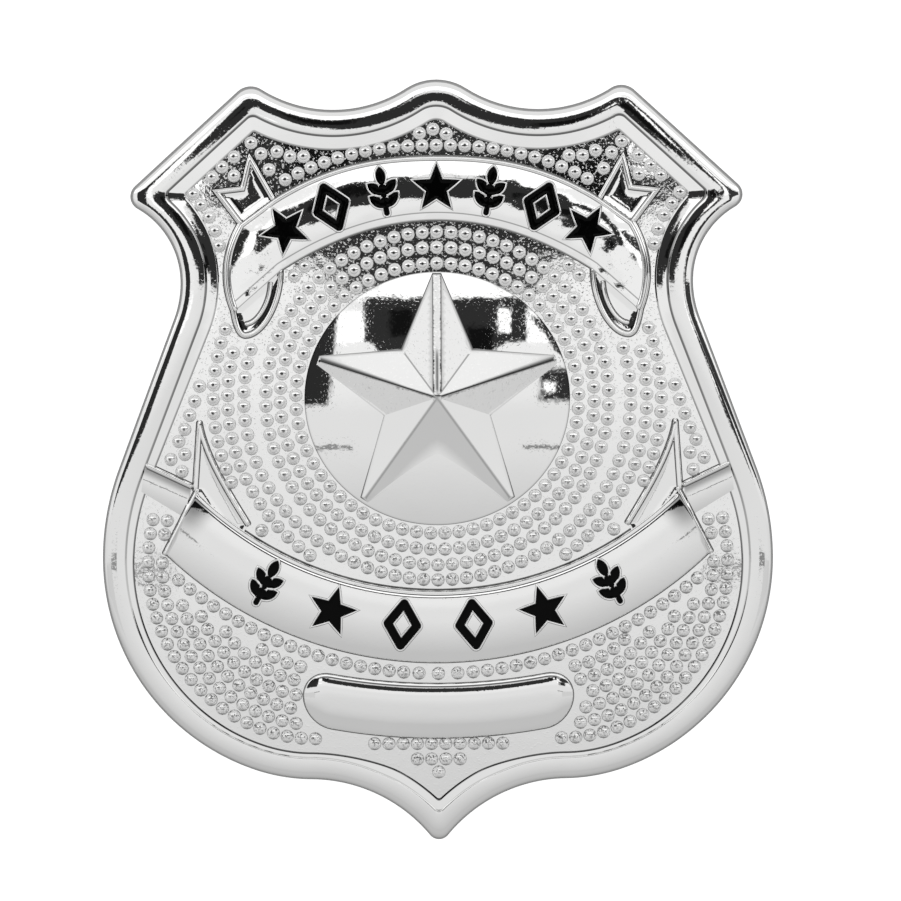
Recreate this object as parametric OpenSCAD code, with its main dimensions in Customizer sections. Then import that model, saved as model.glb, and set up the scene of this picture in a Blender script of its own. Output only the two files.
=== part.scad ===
// Shield badge cast in one piece: a crowned plate with a raised rim and a sunk field, a dome that
// carries a faceted star, an arched ribbon above it, a curved ribbon below it and a blank
// nameplate. Black enamel ornament is let into both ribbons, and a plain pin sits on the back.
// Millimetres. X runs right across the face, Y up to the middle top tip, Z out of the face.
// The badge lies on its back, and Z is 0 where its outermost tips touch the surface.

/* [Shield] */
// Half the height of the shield, from its middle to either end tip
half_h = 38; // [37.6:0.1:38.4]
// Half the width at the waist
waist_x = 25.6; // [25:0.1:26.2]
// Half the width at the widest part of the belly
belly_x = 33.5; // [33:0.1:34.2]
// Radius that the whole shield is crowned to
crown_r = 200; // [190:5:240]
// Thickness of the plate behind the field
plate = 1.3; // [1.1:0.1:1.5]
// Depth of the rim below the back of the plate
skirt = 0.5; // [0.4:0.1:0.7]

/* [Rim] */
// Height of the rim's crest above the field
rim_rise = 0.8; // [0.6:0.1:1]
// Width of the whole rim along the top
rim_top_w = 4.05; // [3.8:0.05:4.3]
// Width of the whole rim along the base
rim_base_w = 2.7; // [2.5:0.05:2.9]
// Width of the rim's rounded band along the top
band_top_w = 2.6; // [2.4:0.05:2.9]
// Width of the rim's rounded band along the base
band_base_w = 2.1; // [1.9:0.05:2.3]

/* [Dome and star] */
// Radius of the dome's edge
dome_edge_r = 12.7; // [12.2:0.1:12.9]
// Height of the dome above the field
dome_rise = 1.1; // [0.9:0.1:1.6]
// Height of the dome's middle above the shield's middle
dome_y = 6.1; // [5.8:0.1:6.4]
// Distance from the star's middle to its tips
star_tip_r = 12.5; // [12:0.1:12.6]
// Distance from the star's middle to the notches between its arms
star_notch_r = 5.6; // [5:0.1:6]
// Height of the star's peak above the dome
star_rise = 1.4; // [1:0.1:1.8]

/* [Ribbons and nameplate] */
// Height of a ribbon's middle above the field
ribbon_rise = 0.85; // [0.7:0.05:1]
// Height of a ribbon's edges above the field
ribbon_edge = 0.5; // [0.4:0.05:0.6]
// Height of the beads that outline the tails and folds
bead_rise = 0.5; // [0.4:0.05:0.6]
// Width of those beads
bead_w = 0.5; // [0.4:0.05:0.6]
// Height of the metal inside those beads
tail_rise = 0.2; // [0.15:0.05:0.3]
// Half the length of the nameplate
name_half_l = 13.45; // [12.5:0.05:14]
// Half the width of the nameplate
name_half_w = 2.7; // [2.4:0.05:2.9]
// Height of the nameplate above the field
name_rise = 0.85; // [0.6:0.05:1]

/* [Enamel] */
// Width of an enamel stroke
stroke_w = 0.8; // [0.7:0.05:0.9]
// Height of the grooves' floor above the field
groove_floor = 0.1; // [0.1:0.05:0.2]
// Height of the enamel's face above the field
enamel_face = 0.5; // [0.45:0.05:0.55]
// Gap between the enamel and the metal round it
enamel_gap = 0.03; // [0.02:0.01:0.05]

/* [Pin] */
// Length of the strip that carries the pin
strip_l = 34; // [30:1:36]
// Width of that strip
strip_w = 4.6; // [4:0.2:5]
// Thickness of that strip
strip_t = 0.6; // [0.5:0.05:0.7]
// Diameter of the pin's wire
wire_d = 0.9; // [0.8:0.1:1]
// Height of the pin's middle above the shield's middle
pin_y = 6; // [4:0.5:8]

/* [Hidden] */

metal = "silver";
enamel = "black";
// Height that no part of the badge reaches
overall = 20;
// Depth below the field's surface at which raised shapes are rooted in the plate
root = plate / 2;

// The outline's round stretches, right of the middle line
scallop_c = [10.25, 48.5];
scallop_r = 13.5;
side_tip_r = 1.95;
slope_at = [26.25, 31.05];
slope_turn = -42.5;
ear_r = 1.4;
waist_y = 17.75;
neck_r = 8.6;
lower_neck_r = 10.3;
belly_y = -9.85;
flank_r = 25.5;
belly_r = 22.3;
belly_turn = 71.5;
base_r = 18;
base_turn = 89.5;
end_tip_r = 1.15;
// Smallest radius that an inner corner of the rim keeps
inner_corner_r = 0.3;
// Heights between which the rim narrows from its top width to its base width
rim_top_y = 26;
rim_base_y = -29;

function dir(a) = [cos(a), sin(a)];
function lerp(a, b, t) = a + (b - a) * t;
function angle_to(c, p) = atan2(p.y - c.y, p.x - c.x);
// Points of an arc from angle a0 up to, not including, angle a1
function arc(c, r, a0, a1, n) = [for (i = [0 : n - 1]) c + r * dir(lerp(a0, a1, i / n))];
// Points of a cubic curve with its end points
function curve(a, b, c, d, n) = [
    for (i = [0 : n]) let (t = i / n, s = 1 - t)
        s * s * s * a + 3 * s * s * t * b + 3 * s * t * t * c + t * t * t * d
];
// How far along its narrowing the rim is at height y: 0 along the top, 1 along the base
function rim_run(y) = min(1, max(0, (rim_top_y - y) / (rim_top_y - rim_base_y)));
function rim_w(y) = lerp(rim_top_w, rim_base_w, rim_run(y));
function band_share(y) = lerp(band_top_w, band_base_w, rim_run(y)) / rim_w(y);

// Centres of the outline's round stretches, each touching the next
top_q = scallop_c.y - half_h;
top_tip_r = (pow(scallop_c.x, 2) + top_q * top_q - scallop_r * scallop_r) / (2 * (scallop_r - top_q));
top_tip_c = [0, half_h - top_tip_r];
slope_dir = dir(slope_turn);
slope_out = dir(slope_turn + 90);
neck_c = [waist_x + neck_r, waist_y];
lower_neck_c = [waist_x + lower_neck_r, waist_y];
flank_c = [belly_x - flank_r, belly_y];
belly_c = [belly_x - belly_r, belly_y];
// The straight flank touches the lower neck on one side and the flank's arc on the other
flank_turn = angle_to(lower_neck_c, flank_c)
    - acos((lower_neck_r + flank_r) / norm(flank_c - lower_neck_c)) + 360;
base_c = belly_c + (belly_r - base_r) * dir(-belly_turn);
ogee_start = base_c + base_r * dir(-base_turn);
ogee_g = ogee_start - [0, end_tip_r - half_h];
ogee_r = (end_tip_r * end_tip_r - ogee_g * ogee_g) / (2 * (ogee_g * dir(-base_turn) - end_tip_r));
ogee_c = ogee_start + ogee_r * dir(-base_turn);

// Middle of a round corner of reach e between the slope and the circle of middle c and radius r.
// way is 1 where the circle is met at the slope's upper end, and -1 at its lower end.
function corner_c(c, r, e, way) =
    let (
        start = slope_at - e * slope_out,
        b = (start - c) * slope_dir,
        q = (start - c) * (start - c) - pow(r + e, 2),
        t = way * sqrt(b * b - q) - b
    )
    start + t * slope_dir;

// An arc of the outline moved inwards by the share s of the rim's width. side is 1 where the
// arc's middle lies outside the shield and -1 where it lies inside.
function rim_arc(c, r, a0, a1, n, side, s) = [
    for (i = [0 : n - 1]) let (d = dir(lerp(a0, a1, i / n)))
        c + (r + side * s * rim_w(c.y + r * d.y)) * d
];

// Right half of the outline, clockwise from the top, moved inwards by the share s, 0 or 1
function half_ring(s) =
    let (
        top_in = s * rim_top_w,
        base_in = s * rim_base_w,
        side_e = max(side_tip_r, top_in + inner_corner_r),
        ear_e = max(ear_r, top_in + inner_corner_r),
        end_e = max(end_tip_r, base_in + inner_corner_r),
        side_c = corner_c(scallop_c, scallop_r, side_e, 1),
        ear_c = corner_c(neck_c, neck_r, ear_e, -1),
        end_c = [0, ogee_c.y + sqrt(pow(ogee_r + end_e, 2) - pow(ogee_c.x, 2))],
        slope_a = side_c + (side_e - top_in) * slope_out,
        slope_b = ear_c + (ear_e - top_in) * slope_out,
        flank_d = dir(flank_turn),
        flank_a = lower_neck_c + lower_neck_r * flank_d,
        flank_b = flank_c - flank_r * flank_d
    )
    concat(
        arc(top_tip_c, top_tip_r - top_in, 90, angle_to(top_tip_c, scallop_c), 3),
        arc(scallop_c, scallop_r + top_in, angle_to(scallop_c, top_tip_c), angle_to(scallop_c, side_c), 8),
        arc(side_c, side_e - top_in, angle_to(side_c, scallop_c), slope_turn + 90, 5),
        [slope_a, lerp(slope_a, slope_b, 0.5)],
        arc(ear_c, ear_e - top_in, slope_turn + 90, angle_to(ear_c, neck_c), 6),
        rim_arc(neck_c, neck_r, angle_to(neck_c, ear_c), 180, 6, 1, s),
        rim_arc(lower_neck_c, lower_neck_r, 180, flank_turn, 2, 1, s),
        [for (t = [0, 0.5]) let (p = lerp(flank_a, flank_b, t)) p + s * rim_w(p.y) * flank_d],
        rim_arc(flank_c, flank_r, flank_turn - 180, 0, 3, -1, s),
        rim_arc(belly_c, belly_r, 0, -belly_turn, 12, -1, s),
        rim_arc(base_c, base_r, -belly_turn, -base_turn, 3, -1, s),
        rim_arc(ogee_c, ogee_r, 180 - base_turn, angle_to(ogee_c, end_c), 8, 1, s),
        arc(end_c, end_e - base_in, angle_to(end_c, ogee_c), -90, 3),
        [end_c - [0, end_e - base_in]]
    );

function whole_ring(half) = concat(half, [for (i = [len(half) - 2 : -1 : 1]) [-half[i].x, half[i].y]]);

outer_ring = whole_ring(half_ring(0));
inner_ring = whole_ring(half_ring(1));
crease_ring = [
    for (i = [0 : len(outer_ring) - 1]) lerp(outer_ring[i], inner_ring[i], band_share(outer_ring[i].y))
];

// The crown's middle is as far from the end tip as from the outermost points of the upper half, so
// the badge lies level on the three
crown_y = max([for (p = outer_ring) if (p.y > 0) (p * p - half_h * half_h) / (2 * (half_h + p.y))]);
crown_c = [0, crown_y];
ball_z = -sqrt(pow(crown_r - skirt, 2) - pow(half_h + crown_y, 2));
// Height of the sphere that lies h outside the back of the plate, over the plan point p
function crown_z(p, h) = ball_z + sqrt(pow(crown_r + h, 2) - pow(norm(p - crown_c), 2));
function on_crown(p, h) = [p.x, p.y, crown_z(p, h)];

// Ring across the rim: 0 is its outer edge, 1 the crease inside its rounded band, 2 its inner edge
function rim_ring(u) = [
    for (i = [0 : len(outer_ring) - 1])
        u < 1 ? lerp(outer_ring[i], crease_ring[i], u) : lerp(crease_ring[i], inner_ring[i], u - 1)
];

// Rim section: place across the rim, height above the back of the plate
rim_section = [
    [0, -skirt],
    [0, plate - 0.1],
    [0.08, plate + 0.45 * rim_rise],
    [0.22, plate + 0.8 * rim_rise],
    [0.5, plate + rim_rise],
    [0.75, plate + 0.97 * rim_rise],
    [1, plate + 0.8 * rim_rise],
    [2.1, plate - 0.1],
    [0.4, -skirt]
];

// Solid through sections with the same number of points, closed by a fan at each end
module loft(sections) {
    m = len(sections[0]);
    last = (len(sections) - 1) * m;
    polyhedron(
        points = [for (s = sections) each s],
        faces = concat(
            [for (i = [0 : len(sections) - 2], j = [0 : m - 1]) let (k = (j + 1) % m)
                each [[i * m + j, i * m + k, (i + 1) * m + k], [i * m + j, (i + 1) * m + k, (i + 1) * m + j]]],
            [for (j = [1 : m - 2]) [0, j + 1, j]],
            [for (j = [1 : m - 2]) [last, last + j, last + j + 1]]
        ),
        convexity = 4
    );
}

// Closed band through rings with the same number of points, the last joined to the first
module band(rings) {
    m = len(rings[0]);
    n = len(rings);
    polyhedron(
        points = [for (r = rings) each r],
        faces = [for (i = [0 : n - 1], j = [0 : m - 1]) let (k = (j + 1) % m, o = (i + 1) % n)
            each [[i * m + j, i * m + k, o * m + k], [i * m + j, o * m + k, o * m + j]]],
        convexity = 6
    );
}

module ball(h) {
    translate([0, crown_y, ball_z]) sphere(r = crown_r + h, $fn = 240);
}

module shell(low, high) {
    difference() {
        ball(high);
        ball(low);
    }
}

// Flat shapes raised h above the field, following the crown, and rooted in the plate
module relief(h) {
    intersection() {
        linear_extrude(overall) children();
        shell(plate - root, plate + h);
    }
}

module both_sides() {
    children();
    mirror([1, 0, 0]) children();
}

module stroke(a, b, w) {
    translate(a) rotate(angle_to(a, b)) translate([0, -w / 2]) square([norm(b - a), w]);
    translate(a) circle(d = w, $fn = 24);
    translate(b) circle(d = w, $fn = 24);
}

module path(points, w) {
    for (i = [0 : len(points) - 2]) stroke(points[i], points[i + 1], w);
}

function unit(v) = v / norm(v);
function left_of(v) = [-v.y, v.x];
// Offset from points[i] to the left side of a line of width w, mitred but never longer than w
function mitre(points, i, w) =
    let (
        before = left_of(unit(points[i] - points[i - 1])),
        after = left_of(unit(points[i + 1] - points[i])),
        across = unit(before + after)
    )
    across * w / 2 / max(0.5, across * before);

// A line of width w through the points, with round ends
module line(points, w) {
    n = len(points) - 1;
    start = angle_to(points[0], points[1]);
    end = angle_to(points[n - 1], points[n]);
    polygon(concat(
        arc(points[0], w / 2, start + 90, start + 270, 6),
        [points[0] + w / 2 * dir(start - 90)],
        [for (i = [1 : 1 : n - 1]) points[i] - mitre(points, i, w)],
        arc(points[n], w / 2, end - 90, end + 90, 6),
        [points[n] + w / 2 * dir(end + 90)],
        [for (i = [n - 1 : -1 : 1]) points[i] + mitre(points, i, w)]
    ));
}

// Plate and rim

module crowned_plate() {
    intersection() {
        linear_extrude(overall) polygon(rim_ring(0.6));
        shell(0, plate);
    }
}

module rim() {
    band([for (row = rim_section) [for (p = rim_ring(row[0])) on_crown(p, row[1])]]);
}

// Dome and star, in a frame whose Z is 0 on the field's surface under the dome's middle

field_r = crown_r + plate;
dome_lean = asin((dome_y - crown_y) / field_r);
// The field falls away from the dome, so the dome's root goes deeper than the other shapes'
dome_root = 0.85;
field_drop = field_r - sqrt(field_r * field_r - dome_edge_r * dome_edge_r);
dome_h = dome_rise + field_drop;
dome_r = (dome_edge_r * dome_edge_r + dome_h * dome_h) / (2 * dome_h);
function dome_z(r) = dome_rise - dome_r + sqrt(dome_r * dome_r - r * r);

module at_dome() {
    translate([0, crown_y, ball_z]) rotate([-dome_lean, 0, 0]) translate([0, 0, field_r]) children();
}

module dome() {
    at_dome() intersection() {
        translate([0, 0, dome_rise - dome_r]) sphere(r = dome_r, $fn = 160);
        translate([0, 0, -dome_root]) cylinder(r = dome_edge_r + 3, h = dome_root + 2 * dome_rise, $fn = 96);
    }
}

// Height of the star above the dome at its notches and at the ends of its ridges
star_edge = 0.25;
star_ridge_end = 0.5;
// Each arm's ridge stops short of its blunt end, which is twice star_blunt wide
star_ridge_stop = 0.3;
star_blunt = 0.45;
star_root = -1;

// Height at the plan point p of the plane through a, b and c
function plane_z(a, b, c, p) = let (n = cross(b - a, c - a)) a.z - (n.x * (p.x - a.x) + n.y * (p.y - a.y)) / n.z;

star_peak = [0, 0, dome_z(0) + star_rise];
// For each arm the notch before it, its blunt end's first corner, ridge end and second corner
star_rim = [
    for (k = [0 : 4])
        let (
            a = 90 - 72 * k,
            before = star_notch_r * dir(a + 36),
            after = star_notch_r * dir(a - 36),
            notch = [before.x, before.y, dome_z(star_notch_r) + star_edge],
            next = [after.x, after.y, dome_z(star_notch_r) + star_edge],
            end = (star_tip_r - star_ridge_stop) * dir(a),
            ridge = [end.x, end.y, dome_z(star_tip_r) + star_ridge_end],
            c1 = star_tip_r * dir(a) + star_blunt * dir(a + 90),
            c2 = star_tip_r * dir(a) + star_blunt * dir(a - 90)
        )
        each [
            notch,
            [c1.x, c1.y, plane_z(star_peak, notch, ridge, c1)],
            ridge,
            [c2.x, c2.y, plane_z(star_peak, next, ridge, c2)]
        ]
];

module star() {
    n = len(star_rim);
    root = [for (p = star_rim) [p.x, p.y, star_root]];
    // The ridge ends lie inside the outline, so the walls go round them
    ring = [for (i = [0 : n - 1]) if (i % 4 != 2) i];
    m = len(ring);
    at_dome() polyhedron(
        points = concat(star_rim, root, [star_peak, [0, 0, star_root]]),
        faces = concat(
            [for (i = [0 : n - 1]) let (j = (i + 1) % n) if (i % 4 != 1 && i % 4 != 2) [2 * n, i, j]],
            [for (i = [1 : 4 : n - 1]) [2 * n, i, i + 1]],
            [for (i = [2 : 4 : n - 1]) [2 * n, i, i + 1]],
            [for (i = [1 : 4 : n - 1]) [i, i + 2, i + 1]],
            [for (j = [0 : m - 1]) let (a = ring[j], b = ring[(j + 1) % m])
                each [[a, n + a, n + b], [a, n + b, b], [2 * n + 1, n + b, n + a]]]
        ),
        convexity = 6
    );
}

// Ribbons

// Ribbon section: place across it, share of the way from the edges' height to the middle's
ribbon_section = [[0, 0], [0.06, 0.35], [0.2, 0.7], [0.38, 0.95], [0.62, 0.95], [0.8, 0.7], [0.94, 0.35], [1, 0]];
ribbon_root = plate - root;

function ribbon_cut(low, high) = concat(
    [on_crown(low, ribbon_root)],
    [for (row = ribbon_section) on_crown(lerp(low, high, row[0]), plate + lerp(ribbon_edge, ribbon_rise, row[1]))],
    [on_crown(high, ribbon_root)]
);

module ribbon(lows, highs) {
    loft([for (i = [0 : len(lows) - 1]) ribbon_cut(lows[i], highs[i])]);
}

// The upper ribbon's arch: its top corner, its edges' heights in the middle and their drop
arch_corner = [16.3, 26.05];
arch_top_y = 30.3;
arch_low_y = 23.9;
arch_low_corner = [15.5, 18.95];
function arch_top(x) = [x, arch_top_y - (arch_top_y - arch_corner.y) * pow(abs(x) / arch_corner.x, 2.4)];
function arch_low(x) = [x, arch_low_y - (arch_low_y - arch_low_corner.y) * pow(x / arch_low_corner.x, 2)];
// Beyond its top corner the ribbon falls to a point beside the rim
side_top = [19.6, 23.65];
side_end = [20.35, 15];
side_edge = curve(side_top, [21.4, 20.6], [21.4, 17.6], side_end, 6);
low_reach = 13.4;
upper_highs = concat([for (i = [0 : 9]) arch_top(arch_corner.x * i / 9)], side_edge);
upper_lows = concat(
    [for (i = [0 : 9]) arch_low(low_reach * i / 9)],
    [arch_low(lerp(low_reach, arch_low_corner.x, 0.5)), arch_low_corner],
    [for (i = [1 : 5]) lerp(arch_low_corner, side_end - [0.25, 0.1], i / 5)]
);

module upper_ribbon() {
    both_sides() ribbon(upper_lows, upper_highs);
}

// The upper ribbon's forked tail and the curl of its underside, on the right
tail_outline = [arch_corner, [18.65, 30.2], [19.4, 27.15], [22, 26.85], side_top];
curl_low = curve([15.6, 18.9], [15.6, 15.6], [17.4, 12.5], [19.1, 12.45], 6);
curl_out = curve([19.1, 12.45], [19.8, 12.45], [20.1, 13.6], side_end, 4);
curl_outline = concat(curl_low, [for (i = [1 : len(curl_out) - 1]) curl_out[i]]);

// The lower ribbon lies between two arcs
smile_high_c = [0, 21];
smile_high_r = 34;
smile_high_turn = 45;
smile_low_c = [0, 18.95];
smile_low_r = 39.2;
smile_low_turn = 44;
smile_steps = 12;
lower_highs = [for (i = [0 : smile_steps]) smile_high_c + smile_high_r * dir(-90 + smile_high_turn * i / smile_steps)];
lower_lows = [for (i = [0 : smile_steps]) smile_low_c + smile_low_r * dir(-90 + smile_low_turn * i / smile_steps)];

module lower_ribbon() {
    both_sides() ribbon(lower_lows, lower_highs);
}

// The fold that stands up behind each end of the lower ribbon, and the short tail beyond it
fold_tip = [23.75, 3.75];
fold_foot = [18.95, -6.35];
fold_inner = curve(fold_tip, [23.2, 0.5], [21, -3], fold_foot, 6);
fold_corner = [24.2, -2.9];
short_tail = [[24.6, -2.55], [29.2, -0.4], [29.6, -3.1], [25.3, -5.7]];

module tails() {
    both_sides() {
        relief(tail_rise) {
            polygon(tail_outline);
            polygon(curl_outline);
            polygon(concat(fold_inner, [[20, -8.5], fold_corner]));
            polygon(short_tail);
        }
        relief(bead_rise) {
            line(tail_outline, bead_w);
            line(side_edge, bead_w);
            line(curl_outline, bead_w);
            line([fold_corner, fold_tip], bead_w);
            line(fold_inner, bead_w);
            line([short_tail[0], short_tail[1]], bead_w);
            line([lower_lows[smile_steps], lower_highs[smile_steps]], bead_w);
        }
    }
}

// Nameplate, bowed like the lower ribbon and rounded at its ends

name_bow_r = 60;
name_y = -25.1;
name_steps = 10;
name_edge = 0.25;
// Place along the nameplate's round end and half its width there
function name_place(i) = let (a = 90 * i / name_steps)
    [name_half_l - name_half_w * (1 - sin(a)), max(0.12, name_half_w * cos(a))];
name_rows = concat([for (i = [0 : 2]) [(name_half_l - name_half_w) * i / 3, name_half_w]],
    [for (i = [0 : name_steps]) name_place(i)]);
// Nameplate section: place across it, share of its height
name_section = [[0, 0], [0.06, 0.4], [0.2, 0.75], [0.4, 0.97], [0.6, 0.97], [0.8, 0.75], [0.94, 0.4], [1, 0]];

function name_cut(row) =
    let (
        y = name_y + name_bow_r - sqrt(name_bow_r * name_bow_r - row[0] * row[0]),
        low = [row[0], y - row[1]],
        high = [row[0], y + row[1]],
        top = name_edge + (name_rise - name_edge) * sqrt(row[1] / name_half_w)
    )
    concat(
        [on_crown(low, ribbon_root)],
        [for (s = name_section) on_crown(lerp(low, high, s[0]), plate + lerp(name_edge, top, s[1]))],
        [on_crown(high, ribbon_root)]
    );

module nameplate() {
    both_sides() loft([for (row = name_rows) name_cut(row)]);
}

// Enamel ornament: a five-pointed star, a lozenge and a leafy sprig. grow widens a shape all round.

module star_mark(grow) {
    polygon([for (i = [0 : 9]) (i % 2 == 0 ? 2.45 + 2 * grow : 1.05 + grow) * dir(90 + 36 * i)]);
}

module lozenge_mark(grow) {
    path([[0, 2.1], [1.45, 0], [0, -2.1], [-1.45, 0], [0, 2.1]], stroke_w + 2 * grow);
}

leaf_l = 1.9;
leaf_w = 0.95;

module leaf(grow) {
    l = leaf_l + 4 * grow;
    w = leaf_w + 2 * grow;
    r = (l * l + w * w) / (4 * w);
    translate([leaf_l / 2, 0]) intersection() {
        translate([0, r - w / 2]) circle(r = r, $fn = 48);
        translate([0, w / 2 - r]) circle(r = r, $fn = 48);
    }
}

module sprig_mark(grow) {
    stroke([0, -2.1], [0, 1], 0.5 + 2 * grow);
    translate([0, 0.7]) rotate(90) leaf(grow);
    for (y = [-1.5, -0.2], side = [-1, 1]) translate([0, y]) rotate(90 - 48 * side) leaf(grow);
}

// Marks on the upper ribbon: place across the face, and 0 for a star, 1 for a lozenge, 2 for a sprig
upper_marks = [[0, 0], [5.3, 2], [10.5, 1], [15.1, 0]];
// Marks on the lower ribbon: angle round its middle arc, and the same kinds
lower_marks = [[5.6, 1], [16.8, 0], [28, 2]];

module mark(kind, grow) {
    if (kind == 0) star_mark(grow);
    if (kind == 1) lozenge_mark(grow);
    if (kind == 2) sprig_mark(grow);
}

module upper_pattern(grow) {
    for (row = upper_marks, side = row[0] == 0 ? [1] : [-1, 1]) {
        mid = (arch_top(row[0]) + arch_low(row[0])) / 2;
        ahead = (arch_top(row[0] + 1) + arch_low(row[0] + 1)) / 2;
        behind = (arch_top(row[0] - 1) + arch_low(row[0] - 1)) / 2;
        translate([side * mid.x, mid.y]) rotate(side * angle_to(behind, ahead)) mark(row[1], grow);
    }
}

module lower_pattern(grow) {
    mid_c = (smile_high_c + smile_low_c) / 2;
    mid_r = (smile_high_r + smile_low_r) / 2;
    for (row = lower_marks, side = [-1, 1])
        translate(mid_c + mid_r * dir(-90 + side * row[0])) rotate(side * row[0]) mark(row[1], grow);
}

module inlay() {
    intersection() {
        linear_extrude(overall) children();
        shell(plate + groove_floor + enamel_gap, plate + enamel_face);
    }
}

module grooves() {
    intersection() {
        linear_extrude(overall) {
            upper_pattern(enamel_gap);
            lower_pattern(enamel_gap);
        }
        shell(plate + groove_floor, plate + 2 * ribbon_rise);
    }
}

// Pin on the back: a strip that follows the plate, with a lug, a wire and a catch under it

strip_gap = 0.05;
lug_w = 2;
lug_drop = 1.9;
wire_drop = 1.35;
// Distance from each end of the strip to its lug or catch
lug_inset = 0.5;
// Height of the strip's underside at the place x along it
function strip_low(x) = crown_z([x, pin_y], -strip_gap - strip_t);

module pin_block(x, w, drop) {
    z = strip_low(x);
    translate([x - w / 2, pin_y - strip_w / 4, z - drop]) cube([w, strip_w / 2, drop + strip_t / 2]);
}

// Nodes

module shield() {
    color(metal) difference() {
        union() {
            crowned_plate();
            rim();
            dome();
            star();
            upper_ribbon();
            lower_ribbon();
            nameplate();
            tails();
        }
        grooves();
    }
}

module upper_enamel() {
    color(enamel) inlay() upper_pattern(0);
}

module lower_enamel() {
    color(enamel) inlay() lower_pattern(0);
}

module brooch_pin() {
    reach = strip_l / 2 - lug_w / 2 - lug_inset;
    wire_z = strip_low(reach) - wire_drop;
    color(metal) union() {
        intersection() {
            translate([-strip_l / 2, pin_y - strip_w / 2, 0]) cube([strip_l, strip_w, overall]);
            shell(-strip_gap - strip_t, -strip_gap);
        }
        pin_block(-reach, lug_w, lug_drop);
        pin_block(reach, lug_w, lug_drop);
        translate([-reach, pin_y, wire_z]) rotate([0, 90, 0]) cylinder(d = wire_d, h = 2 * reach, $fn = 32);
    }
}

shield();
upper_enamel();
lower_enamel();
brooch_pin();
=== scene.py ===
import math

import bmesh
import bpy
import numpy as np
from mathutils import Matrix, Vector
from mathutils.geometry import delaunay_2d_cdt


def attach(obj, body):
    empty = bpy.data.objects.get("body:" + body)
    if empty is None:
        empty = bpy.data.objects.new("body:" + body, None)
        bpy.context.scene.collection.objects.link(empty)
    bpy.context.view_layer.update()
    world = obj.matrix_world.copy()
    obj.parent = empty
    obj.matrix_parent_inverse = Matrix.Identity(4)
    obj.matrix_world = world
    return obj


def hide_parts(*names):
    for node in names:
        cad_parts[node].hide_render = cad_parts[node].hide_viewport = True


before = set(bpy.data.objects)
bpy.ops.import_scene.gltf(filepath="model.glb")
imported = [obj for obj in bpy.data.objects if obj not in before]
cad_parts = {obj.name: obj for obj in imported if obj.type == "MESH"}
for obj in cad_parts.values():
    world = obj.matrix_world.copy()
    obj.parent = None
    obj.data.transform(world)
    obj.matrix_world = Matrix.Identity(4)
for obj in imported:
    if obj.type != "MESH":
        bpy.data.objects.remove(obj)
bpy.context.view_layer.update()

# Shield badge, dressed over its CAD frame. Shapes are worked out in millimetres on the crowned plate
# and turned into metres as each piece is made. Heights are given above the face of the field.

MM = 0.001

# Plate and rim

HALF_H = 38.0
WAIST_X = 25.6
BELLY_X = 33.5
CROWN_R = 200.0
PLATE = 1.3
SKIRT = 0.5
RIM_TOP_W, RIM_BASE_W = 4.05, 2.7
BAND_TOP_W, BAND_BASE_W = 2.6, 2.1
RIM_TOP_Y, RIM_BASE_Y = 26.0, -29.0
RIM_END_MORE, RIM_END_Y, RIM_END_RUN = 0.4, -31.8, 2.2
INNER_CORNER_R = 0.3
BURIED = -0.55


def direction(a):
    return np.array([math.cos(math.radians(a)), math.sin(math.radians(a))])


def angle_to(c, p):
    return math.degrees(math.atan2(p[1] - c[1], p[0] - c[0]))


def lerp(a, b, t):
    return a + (b - a) * t


def unit(v):
    v = np.asarray(v, float)
    return v / length(v)[..., None]


def length(v):
    return np.linalg.norm(v, axis=-1)


def plan(x, y):
    return np.stack([x, y], -1)


def left_of(way):
    return plan(-way[:, 1], way[:, 0])


def arc(c, r, a0, a1, n):
    """Points of an arc from angle a0 up to, not including, angle a1."""
    t = np.radians(lerp(a0, a1, np.arange(n) / n))
    return plan(c[0] + r * np.cos(t), c[1] + r * np.sin(t))


def cubic(a, b, c, d, n):
    t = np.linspace(0, 1, n + 1)[:, None]
    s = 1 - t
    a, b, c, d = (np.array(p, float) for p in (a, b, c, d))
    return s ** 3 * a + 3 * s * s * t * b + 3 * s * t * t * c + t ** 3 * d


def smooth(t):
    t = np.clip(t, 0, 1)
    return t * t * (3 - 2 * t)


def rim_run(y):
    """How far along its narrowing the rim is: 0 along the top, 1 along the base."""
    return np.clip((RIM_TOP_Y - y) / (RIM_TOP_Y - RIM_BASE_Y), 0, 1)


def rim_w(y):
    """Width of the rim, which grows again beside the end tip."""
    more = RIM_END_MORE * smooth((RIM_END_Y - y) / RIM_END_RUN)
    return lerp(RIM_TOP_W, RIM_BASE_W, rim_run(y)) + more


def band_w(y):
    return lerp(BAND_TOP_W, BAND_BASE_W, rim_run(y))


SCALLOP_C, SCALLOP_R = np.array([10.25, 48.5]), 13.5
SIDE_TIP_R, EAR_R, END_TIP_R = 1.95, 1.4, 1.15
SLOPE_AT, SLOPE_TURN = np.array([26.25, 31.05]), -42.5
NECK_R, LOWER_NECK_R, WAIST_Y = 8.6, 10.3, 17.75
BELLY_Y, FLANK_R, BELLY_R, BELLY_TURN = -9.85, 25.5, 22.3, 71.5
BASE_R, BASE_TURN = 18.0, 89.5

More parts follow.
